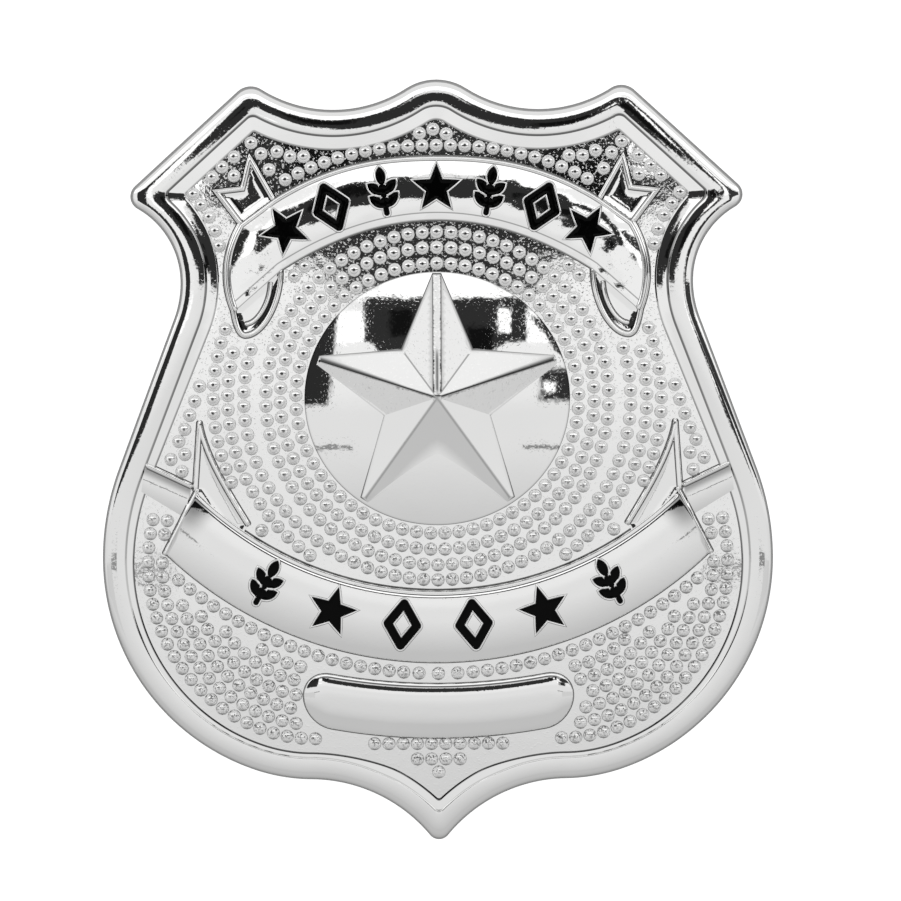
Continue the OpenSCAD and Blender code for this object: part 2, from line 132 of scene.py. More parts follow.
TOP_Q = SCALLOP_C[1] - HALF_H
TOP_TIP_R = (SCALLOP_C[0] ** 2 + TOP_Q ** 2 - SCALLOP_R ** 2) / (2 * (SCALLOP_R - TOP_Q))
TOP_TIP_C = np.array([0, HALF_H - TOP_TIP_R])
SLOPE_DIR = direction(SLOPE_TURN)
SLOPE_OUT = direction(SLOPE_TURN + 90)
NECK_C = np.array([WAIST_X + NECK_R, WAIST_Y])
LOWER_NECK_C = np.array([WAIST_X + LOWER_NECK_R, WAIST_Y])
FLANK_C = np.array([BELLY_X - FLANK_R, BELLY_Y])
BELLY_C = np.array([BELLY_X - BELLY_R, BELLY_Y])
FLANK_TURN = angle_to(LOWER_NECK_C, FLANK_C) - math.degrees(
    math.acos((LOWER_NECK_R + FLANK_R) / length(FLANK_C - LOWER_NECK_C))) + 360
BASE_C = BELLY_C + (BELLY_R - BASE_R) * direction(-BELLY_TURN)
OGEE_START = BASE_C + BASE_R * direction(-BASE_TURN)
OGEE_G = OGEE_START - np.array([0, END_TIP_R - HALF_H])
OGEE_R = (END_TIP_R ** 2 - OGEE_G @ OGEE_G) / (2 * (OGEE_G @ direction(-BASE_TURN) - END_TIP_R))
OGEE_C = OGEE_START + OGEE_R * direction(-BASE_TURN)


def corner_c(c, r, e, way):
    """Middle of a round corner of reach e between the slope and the circle round c."""
    start = SLOPE_AT - e * SLOPE_OUT
    b = (start - c) @ SLOPE_DIR
    q = (start - c) @ (start - c) - (r + e) ** 2
    return start + (way * math.sqrt(b * b - q) - b) * SLOPE_DIR


def rim_arc(c, r, a0, a1, n, side, s):
    out = arc((0, 0), 1, a0, a1, n)
    return c + (r + side * s * rim_w(c[1] + r * out[:, 1]))[:, None] * out


def half_ring(s):
    """Right half of the outline, clockwise from the top, moved inwards by the share s of the rim."""
    top_in, base_in = s * RIM_TOP_W, s * (RIM_BASE_W + RIM_END_MORE)
    side_e = max(SIDE_TIP_R, top_in + INNER_CORNER_R)
    ear_e = max(EAR_R, top_in + INNER_CORNER_R)
    end_e = max(END_TIP_R, base_in + INNER_CORNER_R)
    side_c = corner_c(SCALLOP_C, SCALLOP_R, side_e, 1)
    ear_c = corner_c(NECK_C, NECK_R, ear_e, -1)
    end_c = np.array([0, OGEE_C[1] + math.sqrt((OGEE_R + end_e) ** 2 - OGEE_C[0] ** 2)])
    slope_a = side_c + (side_e - top_in) * SLOPE_OUT
    slope_b = ear_c + (ear_e - top_in) * SLOPE_OUT
    flank_d = direction(FLANK_TURN)
    flank_a = LOWER_NECK_C + LOWER_NECK_R * flank_d
    flank_b = FLANK_C - FLANK_R * flank_d
    straight = lerp(flank_a, flank_b, np.arange(16)[:, None] / 16)
    return np.concatenate([
        arc(TOP_TIP_C, TOP_TIP_R - top_in, 90, angle_to(TOP_TIP_C, SCALLOP_C), 6),
        arc(SCALLOP_C, SCALLOP_R + top_in, angle_to(SCALLOP_C, TOP_TIP_C),
            angle_to(SCALLOP_C, side_c), 44),
        arc(side_c, side_e - top_in, angle_to(side_c, SCALLOP_C), SLOPE_TURN + 90, 14),
        lerp(slope_a, slope_b, np.arange(24)[:, None] / 24),
        arc(ear_c, ear_e - top_in, SLOPE_TURN + 90, angle_to(ear_c, NECK_C), 14),
        rim_arc(NECK_C, NECK_R, angle_to(NECK_C, ear_c), 180, 28, 1, s),
        rim_arc(LOWER_NECK_C, LOWER_NECK_R, 180, FLANK_TURN, 14, 1, s),
        straight + (s * rim_w(straight[:, 1]))[:, None] * flank_d,
        rim_arc(FLANK_C, FLANK_R, FLANK_TURN - 180, 0, 24, -1, s),
        rim_arc(BELLY_C, BELLY_R, 0, -BELLY_TURN, 70, -1, s),
        rim_arc(BASE_C, BASE_R, -BELLY_TURN, -BASE_TURN, 16, -1, s),
        rim_arc(OGEE_C, OGEE_R, 180 - BASE_TURN, angle_to(OGEE_C, end_c), 30, 1, s),
        arc(end_c, end_e - base_in, angle_to(end_c, OGEE_C), -90, 6),
        [end_c - np.array([0, end_e - base_in])],
    ])


def both_halves(half):
    return np.concatenate([half, half[-2:0:-1] * [-1, 1]])


OUTER_RING = both_halves(half_ring(0))
INNER_RING = both_halves(half_ring(1))
CREASE_RING = lerp(OUTER_RING, INNER_RING,
                   (band_w(OUTER_RING[:, 1]) / rim_w(OUTER_RING[:, 1]))[:, None])

# The crown sphere, placed so that the badge lies on its end tip and its two ears

UPPER = OUTER_RING[OUTER_RING[:, 1] > 0]
CROWN_Y = max(((UPPER ** 2).sum(1) - HALF_H ** 2) / (2 * (HALF_H + UPPER[:, 1])))
CROWN_C = np.array([0, CROWN_Y])
BALL_Z = -math.sqrt((CROWN_R - SKIRT) ** 2 - (HALF_H + CROWN_Y) ** 2)
FIELD_R = CROWN_R + PLATE


def crowned(p, h):
    """Points in space, h above the face of the field over the plan points p."""
    p = np.asarray(p, float)
    h = np.broadcast_to(np.asarray(h, float), p.shape[:-1])
    z = BALL_Z + np.sqrt((FIELD_R + h) ** 2 - ((p - CROWN_C) ** 2).sum(-1))
    return np.concatenate([p, z[..., None]], -1)


def rim_ring(u):
    """Ring across the rim: 0 is its outer edge, 1 the crease inside its band, 2 its inner edge."""
    return lerp(OUTER_RING, CREASE_RING, u) if u < 1 else lerp(CREASE_RING, INNER_RING, u - 1)


# Mesh making

def put(name, data):
    """A new object in the scene."""
    made = bpy.data.objects.new(name, data)
    bpy.context.scene.collection.objects.link(made)
    return made


def new_mesh(name, points, faces=()):
    mesh = bpy.data.meshes.new(name)
    mesh.from_pydata([tuple(p) for p in points], [], faces)
    return mesh


def settle(made, nodes=("shield",)):
    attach(made, "root")
    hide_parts(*nodes)
    return made


def piece(name, points, faces, finish, nodes=("shield",), sharp=32, normals=None,
          painted_shade=None):
    """A piece of the badge from points in millimetres, riding on the root. painted_shade says for each
    point how much painted shade darkens it, in corners and creases and along dark lines."""
    mesh = new_mesh(name, np.asarray(points) * MM, faces)
    mesh.validate()
    if normals is None:
        bm = bmesh.new()
        bm.from_mesh(mesh)
        bmesh.ops.recalc_face_normals(bm, faces=bm.faces)
        bm.to_mesh(mesh)
        bm.free()
        mesh.shade_smooth()
        mesh.set_sharp_from_angle(angle=math.radians(sharp))
    else:
        mesh.shade_smooth()
        mesh.normals_split_custom_set([tuple(n) for n in normals])
    if painted_shade is not None:
        mesh.attributes.new("painted_shade", "FLOAT", "POINT").data.foreach_set("value", painted_shade)
    mesh.materials.append(finish)
    return settle(put(name, mesh), nodes)


def inside(points, loop):
    """Whether each plan point lies inside the closed loop."""
    x, y = points[:, 0][:, None], points[:, 1][:, None]
    a, b = loop, np.roll(loop, -1, 0)
    crosses = (a[:, 1] > y) != (b[:, 1] > y)
    rise = np.where(b[:, 1] == a[:, 1], 1e-12, b[:, 1] - a[:, 1])
    at = a[:, 0] + (y - a[:, 1]) * (b[:, 0] - a[:, 0]) / rise
    return ((crosses & (x < at)).sum(1) % 2) == 1


def distance(points, line, closed=False):
    """Distance from each plan point to the line."""
    a = line if closed else line[:-1]
    b = np.roll(line, -1, 0) if closed else line[1:]
    best = np.full(len(points), 1e9)
    for i in range(0, len(points), 4000):
        p = points[i:i + 4000, None, :]
        d = b - a
        t = np.clip(((p - a) * d).sum(-1) / np.maximum((d * d).sum(-1), 1e-12), 0, 1)
        best[i:i + 4000] = np.sqrt((((a + t[..., None] * d) - p) ** 2).sum(-1)).min(1)
    return best


def split(line, step):
    """The line with points added so that none is further than step from the next."""
    out = []
    for a, b in zip(line[:-1], line[1:]):
        n = max(1, math.ceil(length(b - a) / step))
        out.extend(lerp(a, b, i / n) for i in range(n))
    return np.array(out + [line[-1]])


def closed_line(loop):
    loop = np.asarray(loop, float)
    return np.concatenate([loop, loop[:1]])


def counter_clockwise(loop):
    a, b = loop, np.roll(loop, -1, 0)
    return loop if (a[:, 0] * b[:, 1] - b[:, 0] * a[:, 1]).sum() > 0 else loop[::-1]


def turns_right(a, b, c):
    return (b[0] - a[0]) * (c[1] - a[1]) - (b[1] - a[1]) * (c[0] - a[0]) < 0


# Height of a row, and least distance from a kept line, as shares of the step
ROW_SHARE, LINE_SHARE = 0.87, 0.4


def staggered(outline, step):
    """Plan points in staggered rows, as the corners of even triangles, over the outline's box."""
    lo, hi = outline.min(0), outline.max(0)
    rows = []
    for i, y in enumerate(np.arange(lo[1] + step / 2, hi[1], step * ROW_SHARE)):
        x = np.arange(lo[0] + step / 2 + (i % 2) * step / 2, hi[0], step)
        rows.append(plan(x, np.full_like(x, y)))
    return np.concatenate(rows)


def triangles(loops, rails, extra):
    """Plan points and triangles that fill the hull of the loops. Edges of loops and rails are kept."""
    points, edges = [], []
    for loop in loops:
        n = len(points)
        points.extend(map(tuple, loop))
        edges.extend((n + i, n + (i + 1) % len(loop)) for i in range(len(loop)))
    for rail in rails:
        n = len(points)
        points.extend(map(tuple, rail))
        edges.extend((n + i, n + i + 1) for i in range(len(rail) - 1))
    points.extend(map(tuple, extra))
    made = delaunay_2d_cdt([Vector(p) for p in points], edges, [], 0, 1e-7)
    return np.array([tuple(v) for v in made[0]]), [tuple(f) for f in made[2]]


# Where a triangle lies
OUT, IN_GROOVE, ON_FACE = 0, 1, 2
# Half the step over which a face's lean is measured
LEAN_STEP = 0.012


def relief(name, outline, height, finish, step=0.45, grooves=(), floor=0.0,
           nodes=("shield",), root=BURIED, rails=(), place=crowned, dark=None):
    """A raised shape with a closed outline. height gives the height of its face at plan points,
    rails are lines along which the face turns, place puts points and heights in space, and dark
    says how much painted shade darkens the face at plan points. Grooves go down to floor, and right
    through where that is no higher than the root."""
    outline = counter_clockwise(np.asarray(outline, float))
    loops = [outline, *grooves]
    grid = staggered(outline, step)
    grid = grid[inside(grid, outline)]
    for line, closed in [(loop, True) for loop in loops] + [(rail, False) for rail in rails]:
        grid = grid[distance(grid, line, closed) > LINE_SHARE * step]
    flat, faces = triangles(loops, rails, grid)
    middles = np.array([flat[list(f)].mean(0) for f in faces])
    cut = np.sum([np.zeros(len(faces), int), *(inside(middles, loop) for loop in grooves)], 0) % 2
    in_cut = OUT if floor <= root else IN_GROOVE
    states = np.where(inside(middles, outline), np.where(cut, in_cut, ON_FACE), OUT)
    dx, dy = (place(flat + e, height(flat + e)) - place(flat - e, height(flat - e))
              for e in ([LEAN_STEP, 0], [0, LEAN_STEP]))
    lean = unit(np.cross(dx, dy))
    n = len(flat)
    points = np.concatenate([place(flat, height(flat)), place(flat, floor), place(flat, root)])
    out, normals = [], []

    def add(face, given=None):
        p = points[list(face)]
        flat_normal = unit(np.cross(p[1] - p[0], p[2] - p[0]) + 1e-15)
        out.append(face)
        normals.extend(given if given is not None else [flat_normal] * len(face))

    sides = {}
    for f, state in zip(faces, states):
        for i in range(3):
            sides.setdefault(tuple(sorted((f[i], f[(i + 1) % 3]))), []).append((state, f))
        if state == OUT:
            continue
        if turns_right(*flat[list(f)]):
            f = f[::-1]
        if state == IN_GROOVE:
            add(tuple(n + i for i in f))
        else:
            add(f, [lean[i] for i in f])
        add(tuple(2 * n + i for i in f[::-1]))
    for (a, b), both in sides.items():
        low, high = sorted(s for s, _ in both) if len(both) > 1 else (OUT, both[0][0])
        if low == high:
            continue
        face = next(f for s, f in both if s == high)
        if turns_right(flat[a], flat[b], flat[next(i for i in face if i not in (a, b))]):
            a, b = b, a
        top, foot = (0 if high == ON_FACE else n), (n if low == IN_GROOVE else 2 * n)
        add((top + b, top + a, foot + a, foot + b))
    # painted shade of the face, from dark; none on the groove floors and the root
    painted_shade = np.concatenate([dark(flat) if dark else np.zeros(n), np.zeros(2 * n)])
    used = sorted({i for f in out for i in f})
    order = {old: new for new, old in enumerate(used)}
    return piece(name, points[used], [tuple(order[i] for i in f) for f in out], finish, nodes,
                 normals=normals, painted_shade=painted_shade[used])


def band(rings, closed=True):
    """Points and faces of the skin through rings of equal counts, closed from the last ring to the
    first, or else with a cap on both."""
    m, n = len(rings[0]), len(rings)
    faces = [(i * m + j, i * m + (j + 1) % m, (i + 1) % n * m + (j + 1) % m, (i + 1) % n * m + j)
             for i in range(n if closed else n - 1) for j in range(m)]
    if not closed:
        faces += [tuple(range(m))[::-1], tuple((n - 1) * m + j for j in range(m))]
    return np.concatenate(rings), faces


# Angles of the sections that round off a bead's end, and its least height over its foot
END_TURNS = [25, 50, 72, 86]
LIFT = 0.012


def swept(lines, width, rise, ground, closed=False, across=9, sunk=0.25, crest=None, seam=0.1):
    """Half-round beads along plan lines, with a painted shadow line of the given width on both sides.
    ground gives the height of their foot, and crest, where given, the height of their middle."""
    points, faces, painted_shade = [], [], []
    turn = np.linspace(0, math.pi, across)
    for line in lines:
        line = np.asarray(line, float)
        if closed:
            ahead, behind = np.roll(line, -1, 0), np.roll(line, 1, 0)
        else:
            ahead, behind = (np.concatenate(l) for l in ((line[1:], line[-1:]), (line[:1], line[:-1])))
        one, two = unit(ahead - line + 1e-12), unit(line - behind + 1e-12)
        if not closed:
            one[-1], two[0] = two[-1], one[0]
        side = unit(left_of(one + two))
        bend = 1 / np.clip((side * left_of(one)).sum(1), 0.5, 1)
        rows = [(*row, 1.0) for row in zip(line, side, bend)]
        if not closed:
            ends = [(width / 2 * math.sin(t), math.cos(t)) for t in np.radians(END_TURNS)]
            rows = [(line[0] - two[0] * a, side[0], 1, c) for a, c in ends[::-1]] + rows + [
                (line[-1] + one[-1] * a, side[-1], 1, c) for a, c in ends]
        sections = []
        for at, off, k, share in rows:
            w = width / 2 * share * k
            spread = at + off * np.concatenate([[w + seam], w * np.cos(turn), [-w - seam]])[:, None]
            foot = ground(spread)
            middle = crest if crest is not None else ground(at[None])[0] + rise
            up = foot + LIFT
            up[1:-1] = np.maximum(foot[1:-1] + np.sin(turn) * (middle - foot[1:-1]) * share, up[1:-1])
            sections.append(np.concatenate([
                crowned(spread, up), crowned(spread[[-1, 0]], foot[[-1, 0]] - sunk)]))
            # painted shade: darkest on the shadow lines, nearly as dark at the bead's foot, none over its
            # top
            painted_shade.extend([1, 0.85, *[0] * (across - 2), 0.85, 1, 1, 1])
        base = len(points)
        skin, sides = band(sections, closed)
        points.extend(skin)
        faces.extend(tuple(base + q for q in f) for f in sides)
    return points, faces, painted_shade


def beading(name, lines, width, rise, ground, **more):
    points, faces, painted_shade = swept(lines, width, rise, ground, **more)
    return piece(name, points, faces, BRIGHT, painted_shade=painted_shade)


def mirrored(line):
    return np.asarray(line, float) * [-1, 1]


def soft_edge(d, r):
    """Drop of a rounded edge of radius r at the distance d inside it."""
    e = np.clip(r - d, 0, r)
    return r - np.sqrt(np.maximum(r * r - e * e, 0))


# Finishes

def wire(made, inputs):
    """Sets each of the node's inputs to a value, or links it to an output."""
    for key, value in dict(inputs).items():
        if isinstance(value, bpy.types.NodeSocket):
            made.id_data.links.new(value, made.inputs[key])
        else:
            made.inputs[key].default_value = value
    return made


def node(tree, kind, inputs=(), **settings):
    """A new node with its settings and inputs."""
    made = tree.nodes.new(kind)
    for key, value in settings.items():
        setattr(made, key, value)
    return wire(made, inputs)


def calc(tree, operation, *values):
    return node(tree, "ShaderNodeMath", enumerate(values), operation=operation).outputs[0]


def mapped(tree, value, x0, x1, y0=0, y1=1, **settings):
    """The value's place between x0 and x1, as a number from y0 to y1."""
    inputs = {"Value": value, "From Min": x0, "From Max": x1, "To Min": y0, "To Max": y1}
    return node(tree, "ShaderNodeMapRange", inputs, **settings).outputs["Result"]


def mixed(tree, share, a, b, kind="FLOAT"):
    """A mix of a and b with the given share of b."""
    at, out = (2, 0) if kind == "FLOAT" else (6, 2)
    return node(tree, "ShaderNodeMix", {0: share, at: a, at + 1: b}, data_type=kind).outputs[out]


def attribute(tree, name):
    return node(tree, "ShaderNodeAttribute", attribute_name=name).outputs["Fac"]


def sockets(tree, way, kinds):
    for name, kind in kinds.items():
        tree.interface.new_socket(name, in_out=way, socket_type=f"NodeSocket{kind}")


GRAIN_INPUTS = ("Waves", "Pits", "Hairlines", "Wave size", "Pit size")


def cast_grain():
    """Shader group: uneven surface of plated metal, in waves, pits and hairlines."""
    g = bpy.data.node_groups.new("Cast grain", "ShaderNodeTree")
    sockets(g, "INPUT", dict.fromkeys(GRAIN_INPUTS, "Float"))
    sockets(g, "OUTPUT", dict.fromkeys(("Height", "Tone"), "Float"))
    given = node(g, "NodeGroupInput").outputs
    at = node(g, "ShaderNodeTexCoord").outputs["Object"]

    def noise(scale, detail, roughness=0.5):
        return node(g, "ShaderNodeTexNoise", {
            "Vector": at, "Scale": scale, "Detail": detail, "Roughness": roughness}).outputs["Fac"]

    height = calc(g, "MULTIPLY", noise(given["Wave size"], 3, 0.55), given["Waves"])
    pits = mapped(g, noise(given["Pit size"], 2), 0.56, 0.72, interpolation_type="SMOOTHSTEP")
    hairs = node(g, "ShaderNodeTexWave", {"Vector": at, "Scale": 1100, "Distortion": 9, "Detail": 2},
                 wave_profile="SAW").outputs["Fac"]
    for value, name in ((pits, "Pits"), (hairs, "Hairlines")):
        height = calc(g, "ADD", height, calc(g, "MULTIPLY", value, given[name]))
    node(g, "NodeGroupOutput", {"Height": height, "Tone": noise(160, 5)})
    return g


GRAIN = cast_grain()

# How dark a bead's painted shade is, and how satin its plate, at each share of its ball's height
RING_STOPS = ((0, 1), (0.26, 0.95), (0.33, 0.4), (0.38, 0), (0.75, 0), (0.79, 0.35), (0.81, 0.35),
              (0.85, 0), (0.966, 0), (0.977, 1), (1, 1))
LOW_STOPS = ((0, 1), (0.28, 0.9), (0.37, 0.5), (0.43, 0), (0.74, 0), (0.79, 0.15), (0.84, 0),
             (0.975, 0), (0.985, 0.35), (1, 0.35))
SATIN_STOPS = ((0, 0), (0.76, 0), (0.84, 1), (1, 1))
# Heights on the badge, in metres, between which flecked beads with soft painted shade turn into crisp ones
LOW_BEAD_Y, CRISP_Y = -0.012, 0.008


def through(tree, stops, value):
    """The value led through a ramp of grey stops."""
    made = node(tree, "ShaderNodeValToRGB", {0: value})
    elements = made.color_ramp.elements
    for e, (at, grey) in zip(elements, (stops[0], stops[-1])):
        e.position, e.color = at, (grey, grey, grey, 1)
    for at, grey in stops[1:-1]:
        elements.new(at).color = (grey, grey, grey, 1)
    return made.outputs[0]


def bead_shade(t):
    """Painted dark rings and polish of the field's beads: crisp on the upper ones, softer and flecked on
    the lower.
    """
    rise, side = attribute(t, "rise"), attribute(t, "side")
    at = node(t, "ShaderNodeTexCoord").outputs["Object"]
    y = node(t, "ShaderNodeSeparateXYZ", {0: at}).outputs["Y"]
    speck = node(t, "ShaderNodeTexNoise", {"Vector": at, "Scale": 4400, "Detail": 1}).outputs["Fac"]
    flecks = calc(t, "MULTIPLY", mapped(t, speck, 0.56, 0.6, 0, 0.85), mapped(t, side, -0.5, 0.3, 0.35, 1))
    # painted shadow along the lower edge of the lower beads
    crescent = mapped(t, side, -0.48, -0.8, 0, 0.8)
    flecks_and_shade = calc(t, "MAXIMUM", calc(t, "MAXIMUM", through(t, LOW_STOPS, rise), crescent), flecks)
    satin = calc(t, "MULTIPLY", through(t, SATIN_STOPS, rise), mapped(t, y, LOW_BEAD_Y, CRISP_Y, 0.5, 1))
    return mixed(t, mapped(t, y, LOW_BEAD_Y, CRISP_Y), flecks_and_shade, through(t, RING_STOPS, rise)), satin


def blank(name):
    """A new material, its node tree and its shader."""
    m = bpy.data.materials.new(name)
    m.use_nodes = True
    return m, m.node_tree, m.node_tree.nodes["Principled BSDF"]


def grained(name, light, dark, bump, waves, pits, hairlines, wave_size=650, pit_size=3300):
    """A material whose surface varies with the grain, with its tree, shader, varied tone and mask."""
    m, t, shader = blank(name)
    amounts = (waves, pits, hairlines, wave_size, pit_size)
    grain = node(t, "ShaderNodeGroup", zip(GRAIN_INPUTS, amounts), node_tree=GRAIN).outputs
    bumped = node(t, "ShaderNodeBump", {"Distance": bump, "Height": grain["Height"]})
    wire(shader, {"Normal": bumped.outputs["Normal"]})
    return m, t, shader, mixed(t, grain["Tone"], (*dark, 1), (*light, 1), "RGBA"), grain["Tone"]


def metal(name, light, dark, rough, rough_more, bump, *grain, ring=False):
    """Plated metal whose tone, roughness and surface vary with its grain, with painted shade in corners."""
    m, t, shader, tone, mask = grained(name, light, dark, bump, *grain)
    shade, polish = bead_shade(t) if ring else (attribute(t, "painted_shade"), 1)
    # painted shade mixes the colour towards near black
    wire(shader, {"Base Color": mixed(t, shade, tone, (0.07, 0.07, 0.07, 1), "RGBA"), "Metallic": polish,
                  "Roughness": mapped(t, mask, 0.35, 0.7, rough, rough_more)})
    return m


# Each finish: light and dark tone, least and most roughness, depth of its bump in metres, then its
# waves, pits, hairlines, wave size and pit size
BRIGHT = metal("Bright nickel plate", (0.94, 0.94, 0.935), (0.9, 0.9, 0.895), 0.02, 0.035,
               0.000012, 0.8, 0.07, 0, 420, 4200)
FIELD = metal("Nickel plate of the field", (0.98, 0.98, 0.975), (0.93, 0.93, 0.925), 0.03, 0.06,
              0.000012, 0.8, 0.45, 0, 900, 4200)
BEADS = metal("Nickel plate of the beads", (0.98, 0.98, 0.975), (0.92, 0.92, 0.915), 0.07, 0.12,
              0.000012, 0.4, 0.45, 0, 900, 5200, ring=True)
# Dark finish of the painted shadow lines where raised shapes meet the field
SHADOW_FINISH = metal("Darkened seam", (0.3, 0.3, 0.295), (0.08, 0.08, 0.08), 0.25, 0.4,
             0.00002, 0.3, 0.9, 0, 900, 4200)
BACK = metal("Plated back", (0.8, 0.8, 0.79), (0.7, 0.7, 0.69), 0.28, 0.4,
             0.00005, 1, 0.9, 0.05, 500, 1800)
STEEL = metal("Plated pin steel", (0.8, 0.8, 0.79), (0.68, 0.68, 0.67), 0.12, 0.25,
              0.00002, 0.5, 0.3, 0.5)


def enamel_finish():
    m, _, shader, tone, _ = grained("Glossy black enamel", (0.002, 0.002, 0.002),
                                    (0.0008, 0.0008, 0.0008), 0.000012, 1, 0.1, 0)
    wire(shader, {"Base Color": tone, "Roughness": 0.08, "Specular IOR Level": 0.06})
    return m


ENAMEL = enamel_finish()

# Rim: a rounded band, a crease inside it and a slope down to the field

# Steps across the band, from its outer edge to the crease, and their heights
BAND_AT = [0, 0.015, 0.04, 0.08, 0.13, 0.19, 0.25, 0.3, 0.36, 0.42, 0.51, 0.6, 0.7, 0.8, 0.9, 0.96,
           0.985, 1]
BAND_UP = [-0.05, 0.2, 0.36, 0.51, 0.62, 0.7, 0.747, 0.772, 0.787, 0.7952, 0.8, 0.797, 0.785, 0.765,
           0.737, 0.718, 0.7, 0.67]
RIM_BASE_SHARE = 0.62
SLOPE_TILT, SLOPE_FOOT, STEP_W, STEP_UP, LINE_W = 9.0, 0.07, 0.13, 0.22, 0.16
# How much painted shade darkens the band's plate at steps across it, at the top and at the base
BAND_DARK_AT = [0, 0.04, 0.13, 0.25, 0.96, 0.985, 1]
BAND_DARK_TOP = [0.5, 0.3, 0, 0, 0.1, 0.6, 0.9]
BAND_DARK_BASE = [0.5, 0.35, 0.12, 0.04, 0, 0.15, 0.25]
# Rows of the slope: the share of its width inwards, a step more, and its painted shade at the top and the
# base
SLOPE_ROWS = ((1, -0.03, 0.95, 0.3), (1, -STEP_W, 0.85, 0.15), (1, -STEP_W - 0.05, 0, 0), (0.5, 0, 0, 0),
              (0, LINE_W + 0.05, 0, 0), (0, LINE_W, 0.2, 0.8), (0, LINE_W / 2, 0.5, 1), (0, 0, 0.5, 1))


def make_rim():
    """A rounded band, a step, a flat slope and a painted shade line where it meets the field."""
    x, y = OUTER_RING.T
    run = rim_run(y)
    low, base = lerp(1, RIM_BASE_SHARE, run), smooth(run * 1.4 - 0.2)
    slope_w = rim_w(y) - band_w(y)
    # the slope is dished and a little uneven beside the neck
    hollow = smooth((y - 7) / 5) * smooth((27 - y) / 4) * smooth((np.abs(x) - 22) / 2) * (
        0.06 + 0.014 * np.sin(2.2 * y + 1.5 * np.sin(0.9 * y + 0.4 * np.sign(x))))

    def on_slope(inwards):
        return lerp(INNER_RING, CREASE_RING, (inwards / slope_w)[:, None])

    rows = [(rim_ring(0), h, 0 * run + 0.4) for h in (-PLATE - SKIRT + 0.06, -0.9, -0.35)]
    for u, h in zip(BAND_AT, BAND_UP):
        top_dark, base_dark = (np.interp(u, BAND_DARK_AT, d) for d in (BAND_DARK_TOP, BAND_DARK_BASE))
        rows.append((rim_ring(u), h * (low if h > 0 else 1), lerp(top_dark, base_dark, base)))
    for k, (share, gap, top_dark, base_dark) in enumerate(SLOPE_ROWS):
        inwards = share * slope_w + gap
        up = SLOPE_FOOT + math.tan(math.radians(SLOPE_TILT)) * (inwards - LINE_W)
        up = np.where(inwards < LINE_W, SLOPE_FOOT * inwards / LINE_W, up)
        up = up + (0 if k else STEP_UP * low) - (hollow if share == 0.5 else 0)
        rows.append((on_slope(inwards), up, lerp(top_dark, base_dark, base)))
    rows.append((on_slope(-0.08), -0.1, 0 * run + 1))
    for u, h in ((1.5, -0.73), (0.9, -1.34), (0.4, -PLATE - SKIRT), (0.06, -PLATE - SKIRT)):
        rows.append((rim_ring(u), h, 0 * run))
    points, faces = band([crowned(ring, h) for ring, h, _ in rows])
    return piece("rim", points, faces, BRIGHT, sharp=24, painted_shade=np.concatenate([d for _, _, d in rows]))


def make_plate():
    """A bright face and a dull back, each a fan of rings, joined under the rim."""
    edge = rim_ring(0.6)[::2]
    steps, m = 18, len(edge)
    sheet = steps * m + 1
    points = np.concatenate([crowned(ring, h) for h in (0, -PLATE) for ring in (
        [[0, 0]], *(edge * k / steps for k in range(1, steps + 1)))])
    faces = []

    def skin(a, b):
        faces.extend((a + j, b + j, b + (j + 1) % m, a + (j + 1) % m) for j in range(m))

    for start in (0, sheet):
        faces += [(start, start + 1 + j, start + 1 + (j + 1) % m) for j in range(m)]
        for a in range(start + 1, start + sheet - m, m):
            skin(a, a + m)
    skin(sheet - m, 2 * sheet - m)
    made = piece("plate", points, faces, FIELD, sharp=40)
    made.data.materials.append(BACK)
    for f in made.data.polygons:
        if f.normal.z < 0.3:
            f.material_index = 1
    return made


# Dome and star, in a frame whose Z is 0 on the field under the dome's middle

DOME_A, DOME_B, DOME_RISE, DOME_Y = 13.25, 12.65, 1.1, 6.1
DOME_EDGE_R = 12.7
DOME_LEAN = math.asin((DOME_Y - CROWN_Y) / FIELD_R)
FIELD_DROP = FIELD_R - math.sqrt(FIELD_R ** 2 - DOME_EDGE_R ** 2)
DOME_H = DOME_RISE + FIELD_DROP
DOME_R = (DOME_EDGE_R ** 2 + DOME_H ** 2) / (2 * DOME_H)
STAR_TIP_R, STAR_NOTCH_R, STAR_RISE = 12.5, 5.6, 1.4
STAR_EDGE, STAR_RIDGE_END, STAR_RIDGE_STOP, STAR_BLUNT = 0.25, 0.5, 0.3, 0.45
STRIP, UPPER_NOTCH_R, WORN = 0.33, 6.1, 0.05


def dome_z(r):
    return DOME_RISE - DOME_R + np.sqrt(DOME_R ** 2 - np.asarray(r) ** 2)


def at_dome(points):
    points = np.asarray(points, float)
    c, s = math.cos(-DOME_LEAN), math.sin(-DOME_LEAN)
    x, y, z = points[..., 0], points[..., 1], points[..., 2] + FIELD_R
    return np.stack([x, CROWN_Y + y * c - z * s, BALL_Z + y * s + z * c], -1)


def make_dome():
    """The dome. Its edge is a little higher than the CAD cap's where the ellipse is longer."""
    shares, around = [0.01, *np.linspace(0.06, 0.98, 25), 0.99, 1], 180
    turn = np.linspace(0, 2 * math.pi, around, endpoint=False)
    rings = [np.stack([DOME_A * k * np.cos(turn), DOME_B * k * np.sin(turn),
                       np.full(around, dome_z(DOME_EDGE_R * k))], 1) for k in shares]
    points, faces = band([*rings, rings[-1] - [0, 0, 0.5]], closed=False)
    # painted shade on the last rings, where the dome meets the field
    painted_shade = np.repeat([0.0] * (len(shares) - 2) + [0.1, 0.85, 1.0], around)
    return piece("dome", at_dome(points), faces, BRIGHT, sharp=30, painted_shade=painted_shade)


